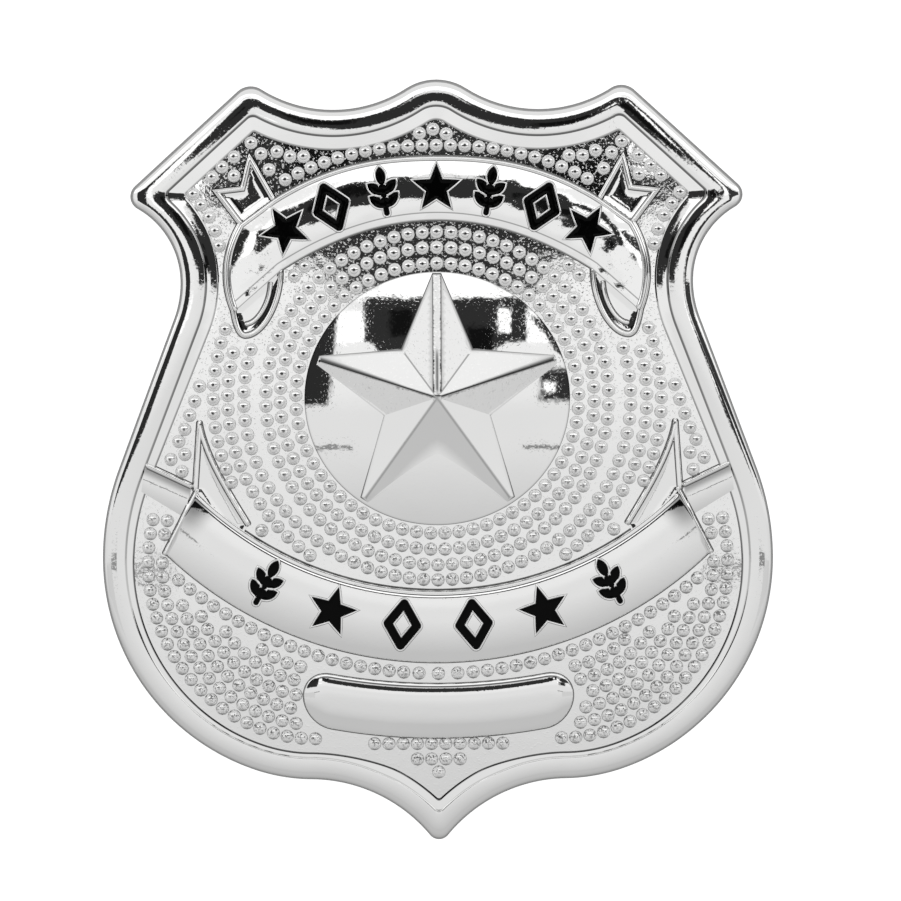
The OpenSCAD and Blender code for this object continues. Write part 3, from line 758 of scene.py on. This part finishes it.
STAR_PEAK = dome_z(0) + STAR_RISE
STAR_ALONG = (dome_z(STAR_TIP_R) + STAR_RIDGE_END - STAR_PEAK) / (STAR_TIP_R - STAR_RIDGE_STOP)
STAR_NOTCH = STAR_NOTCH_R * direction(36)
STAR_ACROSS = (dome_z(STAR_NOTCH_R) + STAR_EDGE - STAR_PEAK - STAR_ALONG * STAR_NOTCH[0]) / STAR_NOTCH[1]
STAR_OUTLINE = np.array([
    p for k in range(5) for p in (
        (UPPER_NOTCH_R if k < 2 else STAR_NOTCH_R) * direction(126 - 72 * k),
        STAR_TIP_R * direction(90 - 72 * k) + STAR_BLUNT * direction(180 - 72 * k),
        STAR_TIP_R * direction(90 - 72 * k) - STAR_BLUNT * direction(180 - 72 * k))])[::-1]


def star_parts(p):
    """Each point's arm, its place along and across the arm, whether it is on the arm's upper side,
    and its angle from the star's middle."""
    turn = np.degrees(np.arctan2(p[:, 1], p[:, 0]))
    k = (np.round((90 - turn) / 72) + 2) % 5 - 2
    a = np.radians(90 - 72 * k)
    v = p[:, 1] * np.cos(a) - p[:, 0] * np.sin(a)
    return k, p[:, 0] * np.cos(a) + p[:, 1] * np.sin(a), v, v * np.sign(k) > 0, turn


def star_height(p):
    """Height in the dome's frame. An arm's two faces meet in a ridge rounded by wear, which is a flat strip
    on the top arm, and the inner faces of the two legs run out softly into the dome."""
    k, u, v, upper, _ = star_parts(p)
    v = np.abs(v)
    ridge = np.sqrt(v * v + WORN ** 2) - WORN * 0.3
    strip = (v + STRIP + np.sqrt((v - STRIP) ** 2 + 0.05 ** 2)) / 2
    up = STAR_PEAK + STAR_ALONG * u + STAR_ACROSS * np.where(k == 0, strip, ridge)
    edge = distance(p, STAR_OUTLINE, True)
    lie = dome_z(DOME_EDGE_R * np.hypot(p[:, 0] / DOME_A, p[:, 1] / DOME_B))
    share = smooth(edge / np.maximum(edge + v, 1e-6))
    soft = lie + (up - lie) * share + 0.012 * (1 - share)
    return np.where((np.abs(k) == 2) & ~upper, soft, up - soft_edge(edge, 0.14))


def star_dark(p):
    """Thin lines of painted shade along the star's outline, its ridges and the valleys beside its top arm.
    """
    k, u, v, upper, turn = star_parts(p)
    edge = np.clip(1.1 - (distance(p, STAR_OUTLINE, True) - 0.06) / 0.09, 0, 1)
    top, across = k == 0, np.abs(k) == 1
    line = np.where(top, 1, np.where(upper, np.where(across, 0.4, 0.95), 0)) * edge
    strip = np.clip(1.35 - np.abs(np.abs(v) - 0.41) / 0.08, 0, 1)
    slot = np.clip(1 - np.abs(v) / 0.2, 0, 1) * np.clip(p[:, 1] / 0.6 - 0.5, 0, 1)
    strip = np.maximum(strip, slot * np.clip(5.2 - p[:, 1], 0, 1))
    reach = 0.12 + np.where(across & upper, 0.032 * np.clip(u - 3, 0, 9), 0)
    ridge = np.clip(1.4 - np.abs(v) / reach, 0, 1)
    line = np.maximum(line, np.where(top, strip, np.where(across, 1, 0.5) * ridge))
    from_valley = np.abs(((turn - 90 + 36) % 72 + 36) % 72 - 36)
    valley = np.clip(1 - np.radians(from_valley) * np.hypot(p[:, 0], p[:, 1]) / 0.12, 0, 1)
    return np.maximum(line, 0.8 * (np.abs(turn - 90) < 50) * valley)


TOP_ARM_RAILS = (0.12, 0.26, 0.33, 0.41, 0.49)
ARM_RAILS = (0.05, 0.1, 0.2, 0.32, 0.45)


def make_star():
    """The star, with rails along its ridges, its valleys and its outline."""
    rails = []
    for k in range(5):
        a = 90 - 72 * k
        along, across, valley = direction(a), direction(a + 90), direction(a + 36)
        for off in (0, *(s * o for o in (ARM_RAILS if k else TOP_ARM_RAILS) for s in (1, -1))):
            start = max(0.5, abs(off) * 1.5)
            rails.append(split(np.array([along * start, along * 12.2]) + off * across, 0.4))
        for off in (0.12, 0.02, -0.02, -0.12):
            rails.append(split(np.array([valley * 0.6, valley * (STAR_NOTCH_R - 0.25)])
                               + off * direction(a + 126), 0.4))
    rails += [closed_line(grown(STAR_OUTLINE, -reach)) for reach in (0.05, 0.1, 0.15)]
    return relief("star", split(closed_line(STAR_OUTLINE), 0.4)[:-1], star_height, BRIGHT, step=0.4,
                  root=-0.6, rails=rails, dark=star_dark, place=lambda p, h: at_dome(
                      np.concatenate([p, np.broadcast_to(h, len(p))[:, None]], 1)))


# Ribbons

ARCH_CORNER = np.array([16.3, 26.05])
ARCH_TOP_Y, ARCH_LOW_Y = 30.3, 23.9
ARCH_LOW_CORNER = np.array([15.5, 18.95])
SIDE_TOP, SIDE_END = np.array([19.6, 23.65]), np.array([20.35, 15.0])


def arch_top(x):
    return plan(x, ARCH_TOP_Y - (ARCH_TOP_Y - ARCH_CORNER[1]) * (np.abs(x) / ARCH_CORNER[0]) ** 2.4)


def arch_low(x):
    return plan(x, ARCH_LOW_Y - (ARCH_LOW_Y - ARCH_LOW_CORNER[1]) * (x / ARCH_LOW_CORNER[0]) ** 2)


SIDE_EDGE = cubic(SIDE_TOP, [21.4, 20.6], [21.4, 17.6], SIDE_END, 24)
UPPER_HIGH = np.concatenate([arch_top(np.linspace(0, ARCH_CORNER[0], 50)), SIDE_EDGE])
UPPER_LOW = np.concatenate([arch_low(np.linspace(0, ARCH_LOW_CORNER[0], 50)),
                            split(np.array([ARCH_LOW_CORNER, SIDE_END - [0.25, 0.1]]), 0.4)[1:]])
UPPER_HIGH_ALL = np.concatenate([mirrored(UPPER_HIGH)[:0:-1], UPPER_HIGH])
UPPER_LOW_ALL = np.concatenate([mirrored(UPPER_LOW)[:0:-1], UPPER_LOW])
UPPER_OUTLINE = np.concatenate([UPPER_HIGH_ALL, UPPER_LOW_ALL[::-1]])
RIBBON_ARCH_R = 18.0
BEVEL_W, BEVEL_BEND = 0.75, 0.018


def uneven(p):
    """Slow hand-finished waves of a polished face."""
    x, y = p.T
    return 0.006 * np.sin(1.9 * x + 1.3 * np.sin(0.8 * y)) \
        + 0.005 * np.sin(2.9 * y - 0.9 * x + 1) * np.sin(0.7 * x + 2)


def upper_height(p):
    """Upper ribbon: an arched face and a flatter border along its low edge."""
    low, high = distance(p, UPPER_LOW_ALL), distance(p, UPPER_HIGH_ALL)
    mid = (low - high) / 2
    turn = BEVEL_W - low
    border = BEVEL_BEND * (turn + np.sqrt(turn ** 2 + 0.01))
    return 0.83 - mid ** 2 / (2 * RIBBON_ARCH_R) + border - soft_edge(low, 0.12) + uneven(p)


def upper_dark(p):
    """Thin lines of painted shade above and below the border."""
    low = distance(p, UPPER_LOW_ALL)
    return np.maximum(0.75 * np.clip(1.2 - np.abs(low - BEVEL_W) / 0.08, 0, 1),
                      0.5 * np.clip(1.2 - low / 0.08, 0, 1))


SMILE_HIGH_C, SMILE_HIGH_R, SMILE_HIGH_TURN = np.array([0, 21.0]), 34.0, 45
SMILE_LOW_C, SMILE_LOW_R, SMILE_LOW_TURN = np.array([0, 18.95]), 39.2, 44


def smile(c, r, turn, n):
    return np.concatenate([arc(c, r, -90 - turn, turn - 90, n), [c + r * direction(turn - 90)]])


LOWER_HIGH_ALL = smile(SMILE_HIGH_C, SMILE_HIGH_R, SMILE_HIGH_TURN, 130)
LOWER_LOW_ALL = smile(SMILE_LOW_C, SMILE_LOW_R, SMILE_LOW_TURN, 140)
LOWER_OUTLINE = np.concatenate([LOWER_LOW_ALL, LOWER_HIGH_ALL[::-1]])


def below_top(p):
    """Distance from the top edge of the lower ribbon."""
    return length(p - SMILE_HIGH_C) - SMILE_HIGH_R


def from_end(p):
    """Distance from the nearer end of the lower ribbon."""
    return (44.4 - np.abs(np.degrees(np.arctan2(p[:, 0], 20 - p[:, 1])))) * 0.639


def lower_height(p):
    """Lower ribbon: a lip along the top edge and an arched face."""
    high = below_top(p)
    low = SMILE_LOW_R - length(p - SMILE_LOW_C)
    mid = (low - high) / 2
    end = np.clip(1.9 - from_end(p), 0, 3)
    roll = 1.3 * np.maximum(0.85 - high, 0) ** 2 / 2
    droop = 0.02 * end ** 2 * smooth(1 - high / 3)
    return 0.85 - mid ** 2 / (2 * RIBBON_ARCH_R) - soft_edge(low, 0.15) - roll - droop


def lower_dark(p):
    """Shade in the upper corners of the lower ribbon's ends."""
    high = below_top(p)
    return 0.8 * smooth(1 - from_end(p) / 2.6) * smooth(1.25 - high / 4)


TAIL_OUTLINE = np.array([ARCH_CORNER, [18.65, 30.2], [19.4, 27.15], [22, 26.85], SIDE_TOP])
CURL_LOW = cubic([15.6, 18.9], [15.6, 15.6], [17.4, 12.5], [19.1, 12.45], 20)
CURL_OUT = cubic([19.1, 12.45], [19.8, 12.45], [20.1, 13.6], SIDE_END, 12)
CURL_OUTLINE = np.concatenate([CURL_LOW, CURL_OUT[1:]])
FOLD_TIP, FOLD_FOOT, FOLD_CORNER = np.array([23.75, 3.75]), np.array([18.95, -6.35]), np.array([24.2, -2.9])
FOLD_INNER = cubic(FOLD_TIP, [23.2, 0.5], [21, -3], FOLD_FOOT, 24)
FOLD_OUTLINE = np.concatenate([FOLD_INNER, [[20, -8.5], FOLD_CORNER]])
SHORT_TAIL = np.array([[24.6, -2.55], [29.2, -0.4], [29.6, -3.1], [25.3, -5.7]])
BEAD_W, BEAD_RISE, TAIL_RISE = 0.5, 0.5, 0.2


def field(p):
    """Height of the field."""
    return np.zeros(len(p))


# Enamel marks, read from the frame's own enamel nodes

def top_loops(name):
    """Outlines of the enamel's faces, in millimetres, from a merged copy of the CAD node."""
    bm = bmesh.new()
    bm.from_mesh(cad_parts[name].data)
    bmesh.ops.remove_doubles(bm, verts=bm.verts, dist=2e-6)
    bm.normal_update()
    after = {}
    for f in bm.faces:
        if f.normal.z < 0.7:
            continue
        for loop in f.loops:
            others = [g for g in loop.edge.link_faces if g is not f]
            if not others or others[0].normal.z < 0.7:
                after[loop.vert.index] = (loop.link_loop_next.vert.index, tuple(loop.vert.co))
    bm.free()
    loops = []
    while after:
        at, line = next(iter(after)), []
        while at in after:
            at, co = after.pop(at)
            line.append((co[0] / MM, co[1] / MM))
        line = np.array(line)
        loops.append(line[length(line - np.roll(line, 1, 0)) > 0.004])
    return loops


def grown(loop, by):
    """The loop with each point moved to its right, outwards where the loop runs counter-clockwise."""
    one, two = unit(np.roll(loop, -1, 0) - loop), unit(loop - np.roll(loop, 1, 0))
    side = unit(-left_of(one + two))
    reach = by / np.clip((side * -left_of(one)).sum(1), 0.5, 1)
    return loop + side * reach[:, None]


def make_enamel(name, source, loops):
    """One piece for each loose mark of the enamel node, with its edges rounded off."""
    outers = [l for l in loops if counter_clockwise(l) is l]
    holes = [l for l in loops if counter_clockwise(l) is not l]
    for i, outer in enumerate(outers):
        inner = [h for h in holes if inside(h[:1], outer)[0]]

        def filled(p, edges=[outer, *inner]):
            return 0.5 - 0.05 * smooth(np.min([distance(p, e, True) for e in edges], 0) / 0.3)

        relief(f"{name}_{i}", outer, filled, ENAMEL, step=0.22, grooves=inner, floor=0.13,
               nodes=(source,), root=0.13)


# Field beads

BALL_R, BEAD_H = 0.7, 0.52
PITCH, RING_PITCH, SMILE_PITCH, LEAST_PITCH, FILL_PITCH = 1.42, 1.43, 1.45, 1.27, 1.3
# Room from a bead's middle to the dome and the raised shapes, and to the rim
ROOM, RIM_GAP, LEAST_RIM_GAP = 0.62, 0.42, 0.05
# Half the width and height of the bead rings round the dome
BEAD_RINGS = ((14.1, 13.45), (15.65, 15.05), (17.1, 16.6), (19.3, 18.1), (20.9, 19.7), (22.35, 21.2))
# Beads in the upper corners and beside the folds, right of the middle line
CORNER_BEADS = ((13.25, 30.3), (14.6, 30.3), (15.9, 30.8), (17.5, 30.6), (18.5, 31.7), (16.7, 29.0),
                (15.0, 28.9), (15.95, 27.6), (20.2, 30.3), (21.4, 29.3), (22.4, 28.3), (20.2, 28.4),
                (24.3, 26.6), (23.5, 25.5), (22.7, 24.3), (20.9, 24.3), (22.1, 22.9), (21.7, 21.4))
FLANK_BEADS = ((23.7, 7.4), (24.2, 5.9), (24.7, 4.5), (25.2, 3.1), (25.8, 1.9), (25.2, 0.6),
               (26.6, 0.1), (25.5, -1.1))
TOP_BEADS = ((-1.67, 32.57), (-0.33, 32.97), (1.0, 32.5))
# Rows below the nameplate: how many beads, and their height on the badge
FOOT_ROWS = ((10, -28.35), (4, -29.9), (1, -31.2))
BELOW_SMILE_R = 40.3


def offset_line(line, by):
    """The open line moved to its left by the given distance."""
    ahead = unit(np.concatenate([line[1:] - line[:-1], line[-1:] - line[-2:-1]]) + 1e-12)
    return line + left_of(ahead) * by


def along(line, places):
    """Points of the line at the distances that places gives for its length."""
    gone = np.concatenate([[0], np.cumsum(length(np.diff(line, axis=0)))])
    at = places(gone[-1])
    return plan(*(np.interp(at, gone, axis) for axis in line.T))


def from_middle(whole):
    n = int(whole / PITCH)
    at = whole / 2 + np.arange(-n, n + 1) * PITCH
    return at[(at >= 0) & (at <= whole)]


def all_round(whole):
    n = round(whole / RING_PITCH)
    return whole * np.arange(n) / n


def bead_points():
    """Plan points of the field's beads: rows along the large shapes, then the gaps between them."""
    solids = [UPPER_OUTLINE, LOWER_OUTLINE, NAME_OUTLINE]
    for shape in (TAIL_OUTLINE, CURL_OUTLINE, FOLD_OUTLINE, SHORT_TAIL):
        solids += [shape, mirrored(shape)]

    def clear(p, gap):
        ok = inside(p, INNER_RING)
        ok &= distance(p, INNER_RING, True) > gap
        ok &= np.hypot(p[:, 0] / (DOME_A + ROOM), (p[:, 1] - DOME_Y) / (DOME_B + ROOM)) > 1
        for s in solids:
            ok &= ~inside(p, s) & (distance(p, s, True) > ROOM + 0.1)
        return ok & ((p[:, 1] > -27.2) | (np.abs(p[:, 0]) > 11.7))

    turn = np.radians(np.linspace(90, 450, 721))
    rows = [(along(plan(a * np.cos(turn), DOME_Y + b * np.sin(turn)), all_round), RIM_GAP)
            for a, b in BEAD_RINGS]
    rows.append((along(offset_line(UPPER_HIGH_ALL[24:-24], 1.05), from_middle), LEAST_RIM_GAP))
    rows += [(np.array(beads) * [side, 1], RIM_GAP) for side in (1, -1)
             for beads in (CORNER_BEADS, FLANK_BEADS)]
    swing = np.concatenate([[0, 1.93], 3.47 + SMILE_PITCH * np.arange(18)]) / BELOW_SMILE_R
    swing = np.concatenate([swing, -swing[1:]])
    rows.append((SMILE_LOW_C + BELOW_SMILE_R * plan(np.sin(swing), -np.cos(swing)), RIM_GAP))
    for k in range(8):
        ring = offset_line(closed_line(INNER_RING), -(1.4 + PITCH * k))
        ring = ring[(ring[:, 1] < 1) & (np.abs(ring[:, 0]) > 3)]
        for side in (1, -1):
            part = ring[ring[:, 0] * side > 0]
            part = part[np.argsort(-part[:, 1])]
            near = length(np.diff(part, axis=0)) < 2
            rows.append((along(part[np.concatenate([[True], near])], from_middle), RIM_GAP))
    kept = np.zeros((0, 2))
    for row, gap in rows:
        for p in row[clear(row, gap)]:
            if len(kept) == 0 or np.min(length(kept - p)) > LEAST_PITCH:
                kept = np.concatenate([kept, [p]])
    spare = np.stack(np.meshgrid(np.arange(14.5, 33, 0.2), np.arange(-30, -5, 0.2)), -1).reshape(-1, 2)
    spare = spare[length(spare - SMILE_LOW_C) > SMILE_LOW_R]
    spare = spare[clear(spare, RIM_GAP)]
    for side in (1, -1):
        holes = spare * [side, 1]
        while len(holes):
            space = np.min(length(holes[:, None] - kept), 1)
            holes, space = holes[space > FILL_PITCH], space[space > FILL_PITCH]
            if len(holes):
                kept = np.concatenate([kept, [holes[np.argmin(space)]]])
    foot = [plan((np.arange(n) - (n - 1) / 2) * PITCH, np.full(n, y)) for n, y in FOOT_ROWS]
    return np.concatenate([kept, TOP_BEADS, *foot])


# Nameplate

NAME_L, NAME_W, NAME_BOW_R, NAME_Y = 13.45, 2.7, 60.0, -25.1
NAME_EDGE, NAME_RISE = 0.44, 0.85


def name_bow(x):
    return NAME_Y + NAME_BOW_R - np.sqrt(NAME_BOW_R ** 2 - x * x)


def name_outline(grow=0.0):
    xs = np.linspace(-(NAME_L - NAME_W), NAME_L - NAME_W, 60)
    turn = np.radians(np.linspace(-90, 90, 24))
    w = NAME_W + grow
    x = NAME_L - NAME_W + w * np.cos(turn)
    right = plan(x, name_bow(x) + w * np.sin(turn))
    return np.concatenate([plan(xs, name_bow(xs) - w), right[1:-1],
                           plan(xs, name_bow(xs) + w)[::-1], mirrored(right)[::-1][1:-1]])


NAME_OUTLINE = name_outline()


def name_edge(p):
    """Each point's height above the nameplate's middle line and its distance inside the edge."""
    y = p[:, 1] - name_bow(p[:, 0])
    return y, NAME_W - np.hypot(np.maximum(np.abs(p[:, 0]) - (NAME_L - NAME_W), 0), y)


def name_height(p):
    d = np.maximum(name_edge(p)[1], 0)
    return NAME_EDGE + (NAME_RISE - NAME_EDGE) * (1 - (1 - d / NAME_W) ** 3.2) - soft_edge(d, 0.1)


def name_dark(p):
    """Painted dark reflection, a line along the top edge."""
    y, d = name_edge(p)
    return np.clip(1.5 - np.abs(d - 0.28) / 0.09, 0, 1) * smooth((y / NAME_W - 0.5) / 0.4)


# Making the pieces

make_rim()
make_plate()
make_dome()
make_star()

RIBBONS = (
    ("upper", UPPER_OUTLINE, upper_height, upper_dark, [
        line[inside(line, UPPER_OUTLINE)] for line in (offset_line(UPPER_LOW_ALL, at) for at in (
            0.05, 0.11, BEVEL_W - 0.1, BEVEL_W, BEVEL_W + 0.1))]),
    ("lower", LOWER_OUTLINE, lower_height, lower_dark, [
        *(arc(SMILE_LOW_C, SMILE_LOW_R - off, -133.5, -46.5, 200) for off in (0.05, 0.1, 0.15)),
        *(arc(SMILE_HIGH_C, SMILE_HIGH_R + off, -134, -46, 200) for off in (0.5, 0.6, 0.7, 0.85, 1.0))]))
MARKS = {word: top_loops(f"{word}_enamel") for word in ("upper", "lower")}
for word, outline, height, dark, rails in RIBBONS:
    relief(f"{word}_ribbon", outline, height, BRIGHT, step=0.4,
           grooves=[grown(l, 0.03) for l in MARKS[word]], floor=0.1, rails=rails, dark=dark)
beading("upper_lip", [offset_line(UPPER_HIGH_ALL, -0.25)], 0.42, 0.14, upper_height, seam=0.04)
beading("lower_lip", [arc(SMILE_HIGH_C, SMILE_HIGH_R + 0.28, -SMILE_HIGH_TURN - 89.4,
                          SMILE_HIGH_TURN - 90.6, 200)], 0.44, 0.14, lower_height)
for word, _, height, _, _ in RIBBONS:
    beading(f"{word}_mark_lips", [grown(l, 0.11) for l in MARKS[word]], 0.16, 0.06, height, closed=True,
            across=6, sunk=0.1, seam=0.03)
for word in MARKS:
    make_enamel(f"{word}_inlay", f"{word}_enamel", MARKS[word])
relief("nameplate", NAME_OUTLINE, name_height, BRIGHT, step=0.4, dark=name_dark, rails=[
    closed_line(name_outline(-off)) for off in (0.05, 0.1, 0.16, 0.24, 0.32, 0.4, 0.5, 0.7, 0.9)])

CURL_RIDGE = cubic([16.6, 17.6], [16.7, 15.6], [17.9, 13.7], [19.0, 13.6], 16)


def dished(loop):
    """Height of a face that rises a little towards the beads round it."""
    return lambda p: TAIL_RISE + 0.12 * np.exp(-((distance(p, loop, True) / 0.5) ** 2))


def falling(edge):
    """Height of the short tail's face, which falls from its upper edge."""
    return lambda p: 0.36 - (distance(p, edge) - 0.9) ** 2 / 18


def shaded(edge):
    return lambda p: 0.65 * smooth(1.5 - distance(p, edge) / 0.8)


for side, word in ((1, "right"), (-1, "left")):
    def on_side(line):
        return np.asarray(line, float) * [side, 1]

    panels = []
    for part, shape in (("tail", TAIL_OUTLINE), ("curl", CURL_OUTLINE), ("fold", FOLD_OUTLINE),
                        ("short_tail", SHORT_TAIL)):
        loop = counter_clockwise(on_side(split(closed_line(shape), 0.4)[:-1]))
        edge = on_side(shape[:2])
        short = part == "short_tail"
        panels.append((loop, falling(edge) if short else dished(loop)))
        relief(f"{part}_{word}", loop, panels[-1][1], BRIGHT, step=0.3,
               dark=shaded(edge) if short else None)

    def beside(p):
        return np.max([inside(p, loop) * face(p) for loop, face in panels], 0)

    lines = [split(on_side(l), 0.3) for l in (
        TAIL_OUTLINE, SIDE_EDGE, CURL_OUTLINE, np.array([FOLD_CORNER, FOLD_TIP]), FOLD_INNER,
        SHORT_TAIL[:2], np.array([LOWER_LOW_ALL[-1], LOWER_HIGH_ALL[-1]]))]
    beading(f"edge_beads_{word}", lines, BEAD_W, BEAD_RISE, beside, crest=BEAD_RISE)
    beading(f"curl_ridge_{word}", [on_side(CURL_RIDGE)], 0.4, 0.2, beside)

# Painted shadow lines round the ribbons and the nameplate, where they meet the field
for word, outline in (("upper", UPPER_OUTLINE), ("lower", LOWER_OUTLINE), ("name", NAME_OUTLINE)):
    points, faces, _ = swept([outline], 0.18, 0.03, field, closed=True, across=4, seam=0.02)
    piece(f"{word}_seam", points, faces, SHADOW_FINISH)


# Beads of the field, set on their points by geometry nodes

def bead_tree():
    """Geometry nodes: a ball on every point, cut off below and turned away from the crown's middle.
    Each point of a ball keeps its rise and its side, as shares of the ball's radius."""
    g = bpy.data.node_groups.new("Field beads", "GeometryNodeTree")
    sockets(g, "INPUT", {"Geometry": "Geometry", "Ball radius": "Float", "Cut below": "Float",
                         "Crown middle": "Vector", "Finish": "Material"})
    sockets(g, "OUTPUT", {"Geometry": "Geometry"})
    given = node(g, "NodeGroupInput").outputs

    def step(kind, inputs, **settings):
        return node(g, kind, inputs, **settings).outputs[0]

    here = step("GeometryNodeInputPosition", ())
    parts = node(g, "ShaderNodeSeparateXYZ", {0: here}).outputs
    low = step("FunctionNodeCompare", {0: parts["Z"], 1: given["Cut below"]}, data_type="FLOAT",
               operation="LESS_THAN")
    made = step("GeometryNodeMeshUVSphere", {"Segments": 12, "Rings": 12, "Radius": 1})
    made = step("GeometryNodeDeleteGeometry", {"Geometry": made, "Selection": low}, domain="FACE")
    for name, axis in (("rise", "Z"), ("side", "Y")):
        made = step("GeometryNodeStoreNamedAttribute", {
            "Geometry": made, "Name": name, "Value": parts[axis]}, data_type="FLOAT", domain="POINT")
    made = step("GeometryNodeSetShadeSmooth", {"Geometry": made})
    away = step("ShaderNodeVectorMath", {0: here, 1: given["Crown middle"]}, operation="SUBTRACT")
    turn = step("FunctionNodeAlignRotationToVector", {"Vector": away}, axis="Z")
    made = step("GeometryNodeInstanceOnPoints", {
        "Points": given["Geometry"], "Instance": made, "Rotation": turn, "Scale": given["Ball radius"]})
    made = step("GeometryNodeRealizeInstances", {0: made})
    made = step("GeometryNodeSetMaterial", {"Geometry": made, "Material": given["Finish"]})
    node(g, "NodeGroupOutput", {0: made})
    return g


def make_beads():
    holder = put("bead_points", new_mesh("bead_points", crowned(bead_points(), BEAD_H - BALL_R) * MM))
    tree = bead_tree()
    mod = holder.modifiers.new("Field beads", "NODES")
    mod.node_group = tree
    ids = {s.name: s.identifier for s in tree.interface.items_tree if s.in_out == "INPUT"}
    mod[ids["Ball radius"]] = BALL_R * MM
    mod[ids["Cut below"]] = (BALL_R - BEAD_H) / BALL_R - 0.15
    mod[ids["Crown middle"]] = (0, CROWN_Y * MM, BALL_Z * MM)
    mod[ids["Finish"]] = BEADS
    done = bpy.data.meshes.new_from_object(holder.evaluated_get(bpy.context.evaluated_depsgraph_get()))
    done.name = "field_beads"
    bpy.data.objects.remove(holder)
    return settle(put("field_beads", done))


make_beads()

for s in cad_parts["brooch_pin"].material_slots:
    s.material = STEEL

# Floor, light and camera

FLOOR_REACH, FLOOR_Z = 3, -0.00002


def make_floor():
    """White paper, which looks a little brighter to the camera than to the metal."""
    corners = [(x * FLOOR_REACH, y * FLOOR_REACH, FLOOR_Z) for x, y in ((-1, -1), (1, -1), (1, 1), (-1, 1))]
    mesh = new_mesh("floor", corners, [(0, 1, 2, 3)])
    m, t, shader = blank("White paper")
    seen = node(t, "ShaderNodeLightPath").outputs["Is Camera Ray"]
    wire(shader, {"Base Color": (0.55, 0.55, 0.55, 1), "Roughness": 0.9, "Emission Color": (1, 1, 1, 1),
                  "Emission Strength": calc(t, "MULTIPLY", seen, 0.9)})
    mesh.materials.append(m)
    floor = put("floor", mesh)


make_floor()

# Cards round the badge, in the order in which they cover each other. A card is what metal mirrors
# where it tilts by x0 to x1 degrees across the badge and by y0 to y1 degrees up it. Columns: x0, x1,
# y0, y1, softness of the edges, slant and brightness
CARDS = (
    (-60, 60, 12.1, 21, 0.6, 0, 1.3),
    (-30, -12.2, -7.5, -3.9, 0.3, 0, 0.66),
    (12.2, 30, -7.5, -3.9, 0.3, 0, 0.66),
    (-13.2, -8.3, -4.3, -3.8, 0.12, 0, 0.28),
    (8.3, 13.2, -4.25, -3.85, 0.12, 0, 0.24),
    (-9.4, -5.6, 12.9, 15.2, 0.5, 0, 0.93),
    (5.6, 9.4, 12.9, 15.2, 0.5, 0, 0.93),
    (-14, -8.4, 10.6, 13.4, 0.35, 0, 0.9),
    (8.4, 14, 10.6, 13.4, 0.35, 0, 0.9),
    (-11, -7.2, 3.5, 10.8, 0.35, 0, 1.25),
    (9, 12, 3.5, 10.8, 0.35, 0, 1.25),
    (-7.2, 8.9, 4.5, 12.2, 0.2, 0, 0.028),
    (-4.7, -2.5, 8, 11, 0.35, 0, 0.006),
    (3, 5.5, 6.4, 9, 0.35, 0, 0.006),
    (6, 7.2, 8.3, 11, 0.2, 0, 1.2),
    (-9, 0.1, 4.2, 7.3, 0.25, 0.92, 0.92),
    (-0.1, 9, 4.2, 7.3, 0.25, -0.92, 0.92),
    (-7.5, -3.3, 4.2, 5.5, 0.25, 0, 0.92),
    (3.3, 9, 4.2, 5.5, 0.25, 0, 0.92),
    (-25, -10.9, 0.6, 11.6, 0.35, -0.1, 0.025),
    (10.2, 17, 0.9, 4.4, 0.4, 0, 0.03),
    (16.3, 40, 4.4, 10.1, 0.2, 0.7, 0.04),
    (10.6, 11.7, 1.9, 3.1, 0.25, 0, 1.2),
    (-1.3, 1.3, 10.9, 12.8, 0.35, 0, 0.85))


# Steps of the plain light, in the order in which they cover each other: the middle of the step and
# half its width, in degrees of tilt up the badge, its brightness, and on which side of it that lies
SKY_STEPS = ((0.8, 1.5, 0.88, "above"), (-30, 7, 0.52, "below"), (21.5, 1.5, 0.82, "above"))


def studio():
    """Light round the badge: white paper above, with the dark gaps that the metal mirrors."""
    world = bpy.data.worlds.new("Studio")
    bpy.context.scene.world = world
    world.use_nodes = True
    t = world.node_tree
    at = node(t, "ShaderNodeTexCoord").outputs["Generated"]
    up = node(t, "ShaderNodeVectorMath", {0: at, 1: (0, 0, 1)}, operation="ADD").outputs[0]
    half = node(t, "ShaderNodeVectorMath", {0: up}, operation="NORMALIZE").outputs[0]
    parts = node(t, "ShaderNodeSeparateXYZ", {0: half}).outputs
    tx, ty = (calc(t, "MULTIPLY", calc(t, "ARCSINE", parts[k]), 180 / math.pi) for k in (0, 1))

    def step(v, at, soft):
        return mapped(t, v, at - soft, at + soft, interpolation_type="SMOOTHSTEP")

    def within(v, a, b, soft):
        return calc(t, "MULTIPLY", step(v, a, soft), calc(t, "SUBTRACT", 1, step(v, b, soft)))

    value = mapped(t, ty, -15, -4, 0.56, 0.8)
    for middle, soft, bright, side in SKY_STEPS:
        share = step(ty, middle, soft)
        value = mixed(t, share if side == "above" else calc(t, "SUBTRACT", 1, share), value, bright)
    for x0, x1, y0, y1, soft, slant, bright in CARDS:
        x = calc(t, "ADD", tx, calc(t, "MULTIPLY", ty, slant)) if slant else tx
        card = calc(t, "MULTIPLY", within(x, x0, x1, soft), within(ty, y0, y1, soft))
        value = mixed(t, card, value, bright)
    wire(t.nodes["Background"], {"Color": value})


studio()

VIEW_W, FAR = 90.1, 1200.0
AIM = np.array([1.30, 0.89, 2.5])
ROLL = -0.24


def make_camera():
    data = bpy.data.cameras.new("camera")
    data.sensor_width = 36
    data.lens = 36 * FAR / VIEW_W
    data.clip_start = 0.05
    data.clip_end = 20
    cam = put("camera", data)
    cam.location = (AIM + [0, 0, FAR]) * MM
    cam.rotation_euler = (0, 0, math.radians(ROLL))
    bpy.context.scene.camera = cam


make_camera()
scene = bpy.context.scene
scene.view_settings.view_transform = "Standard"
scene.view_settings.look = "None"
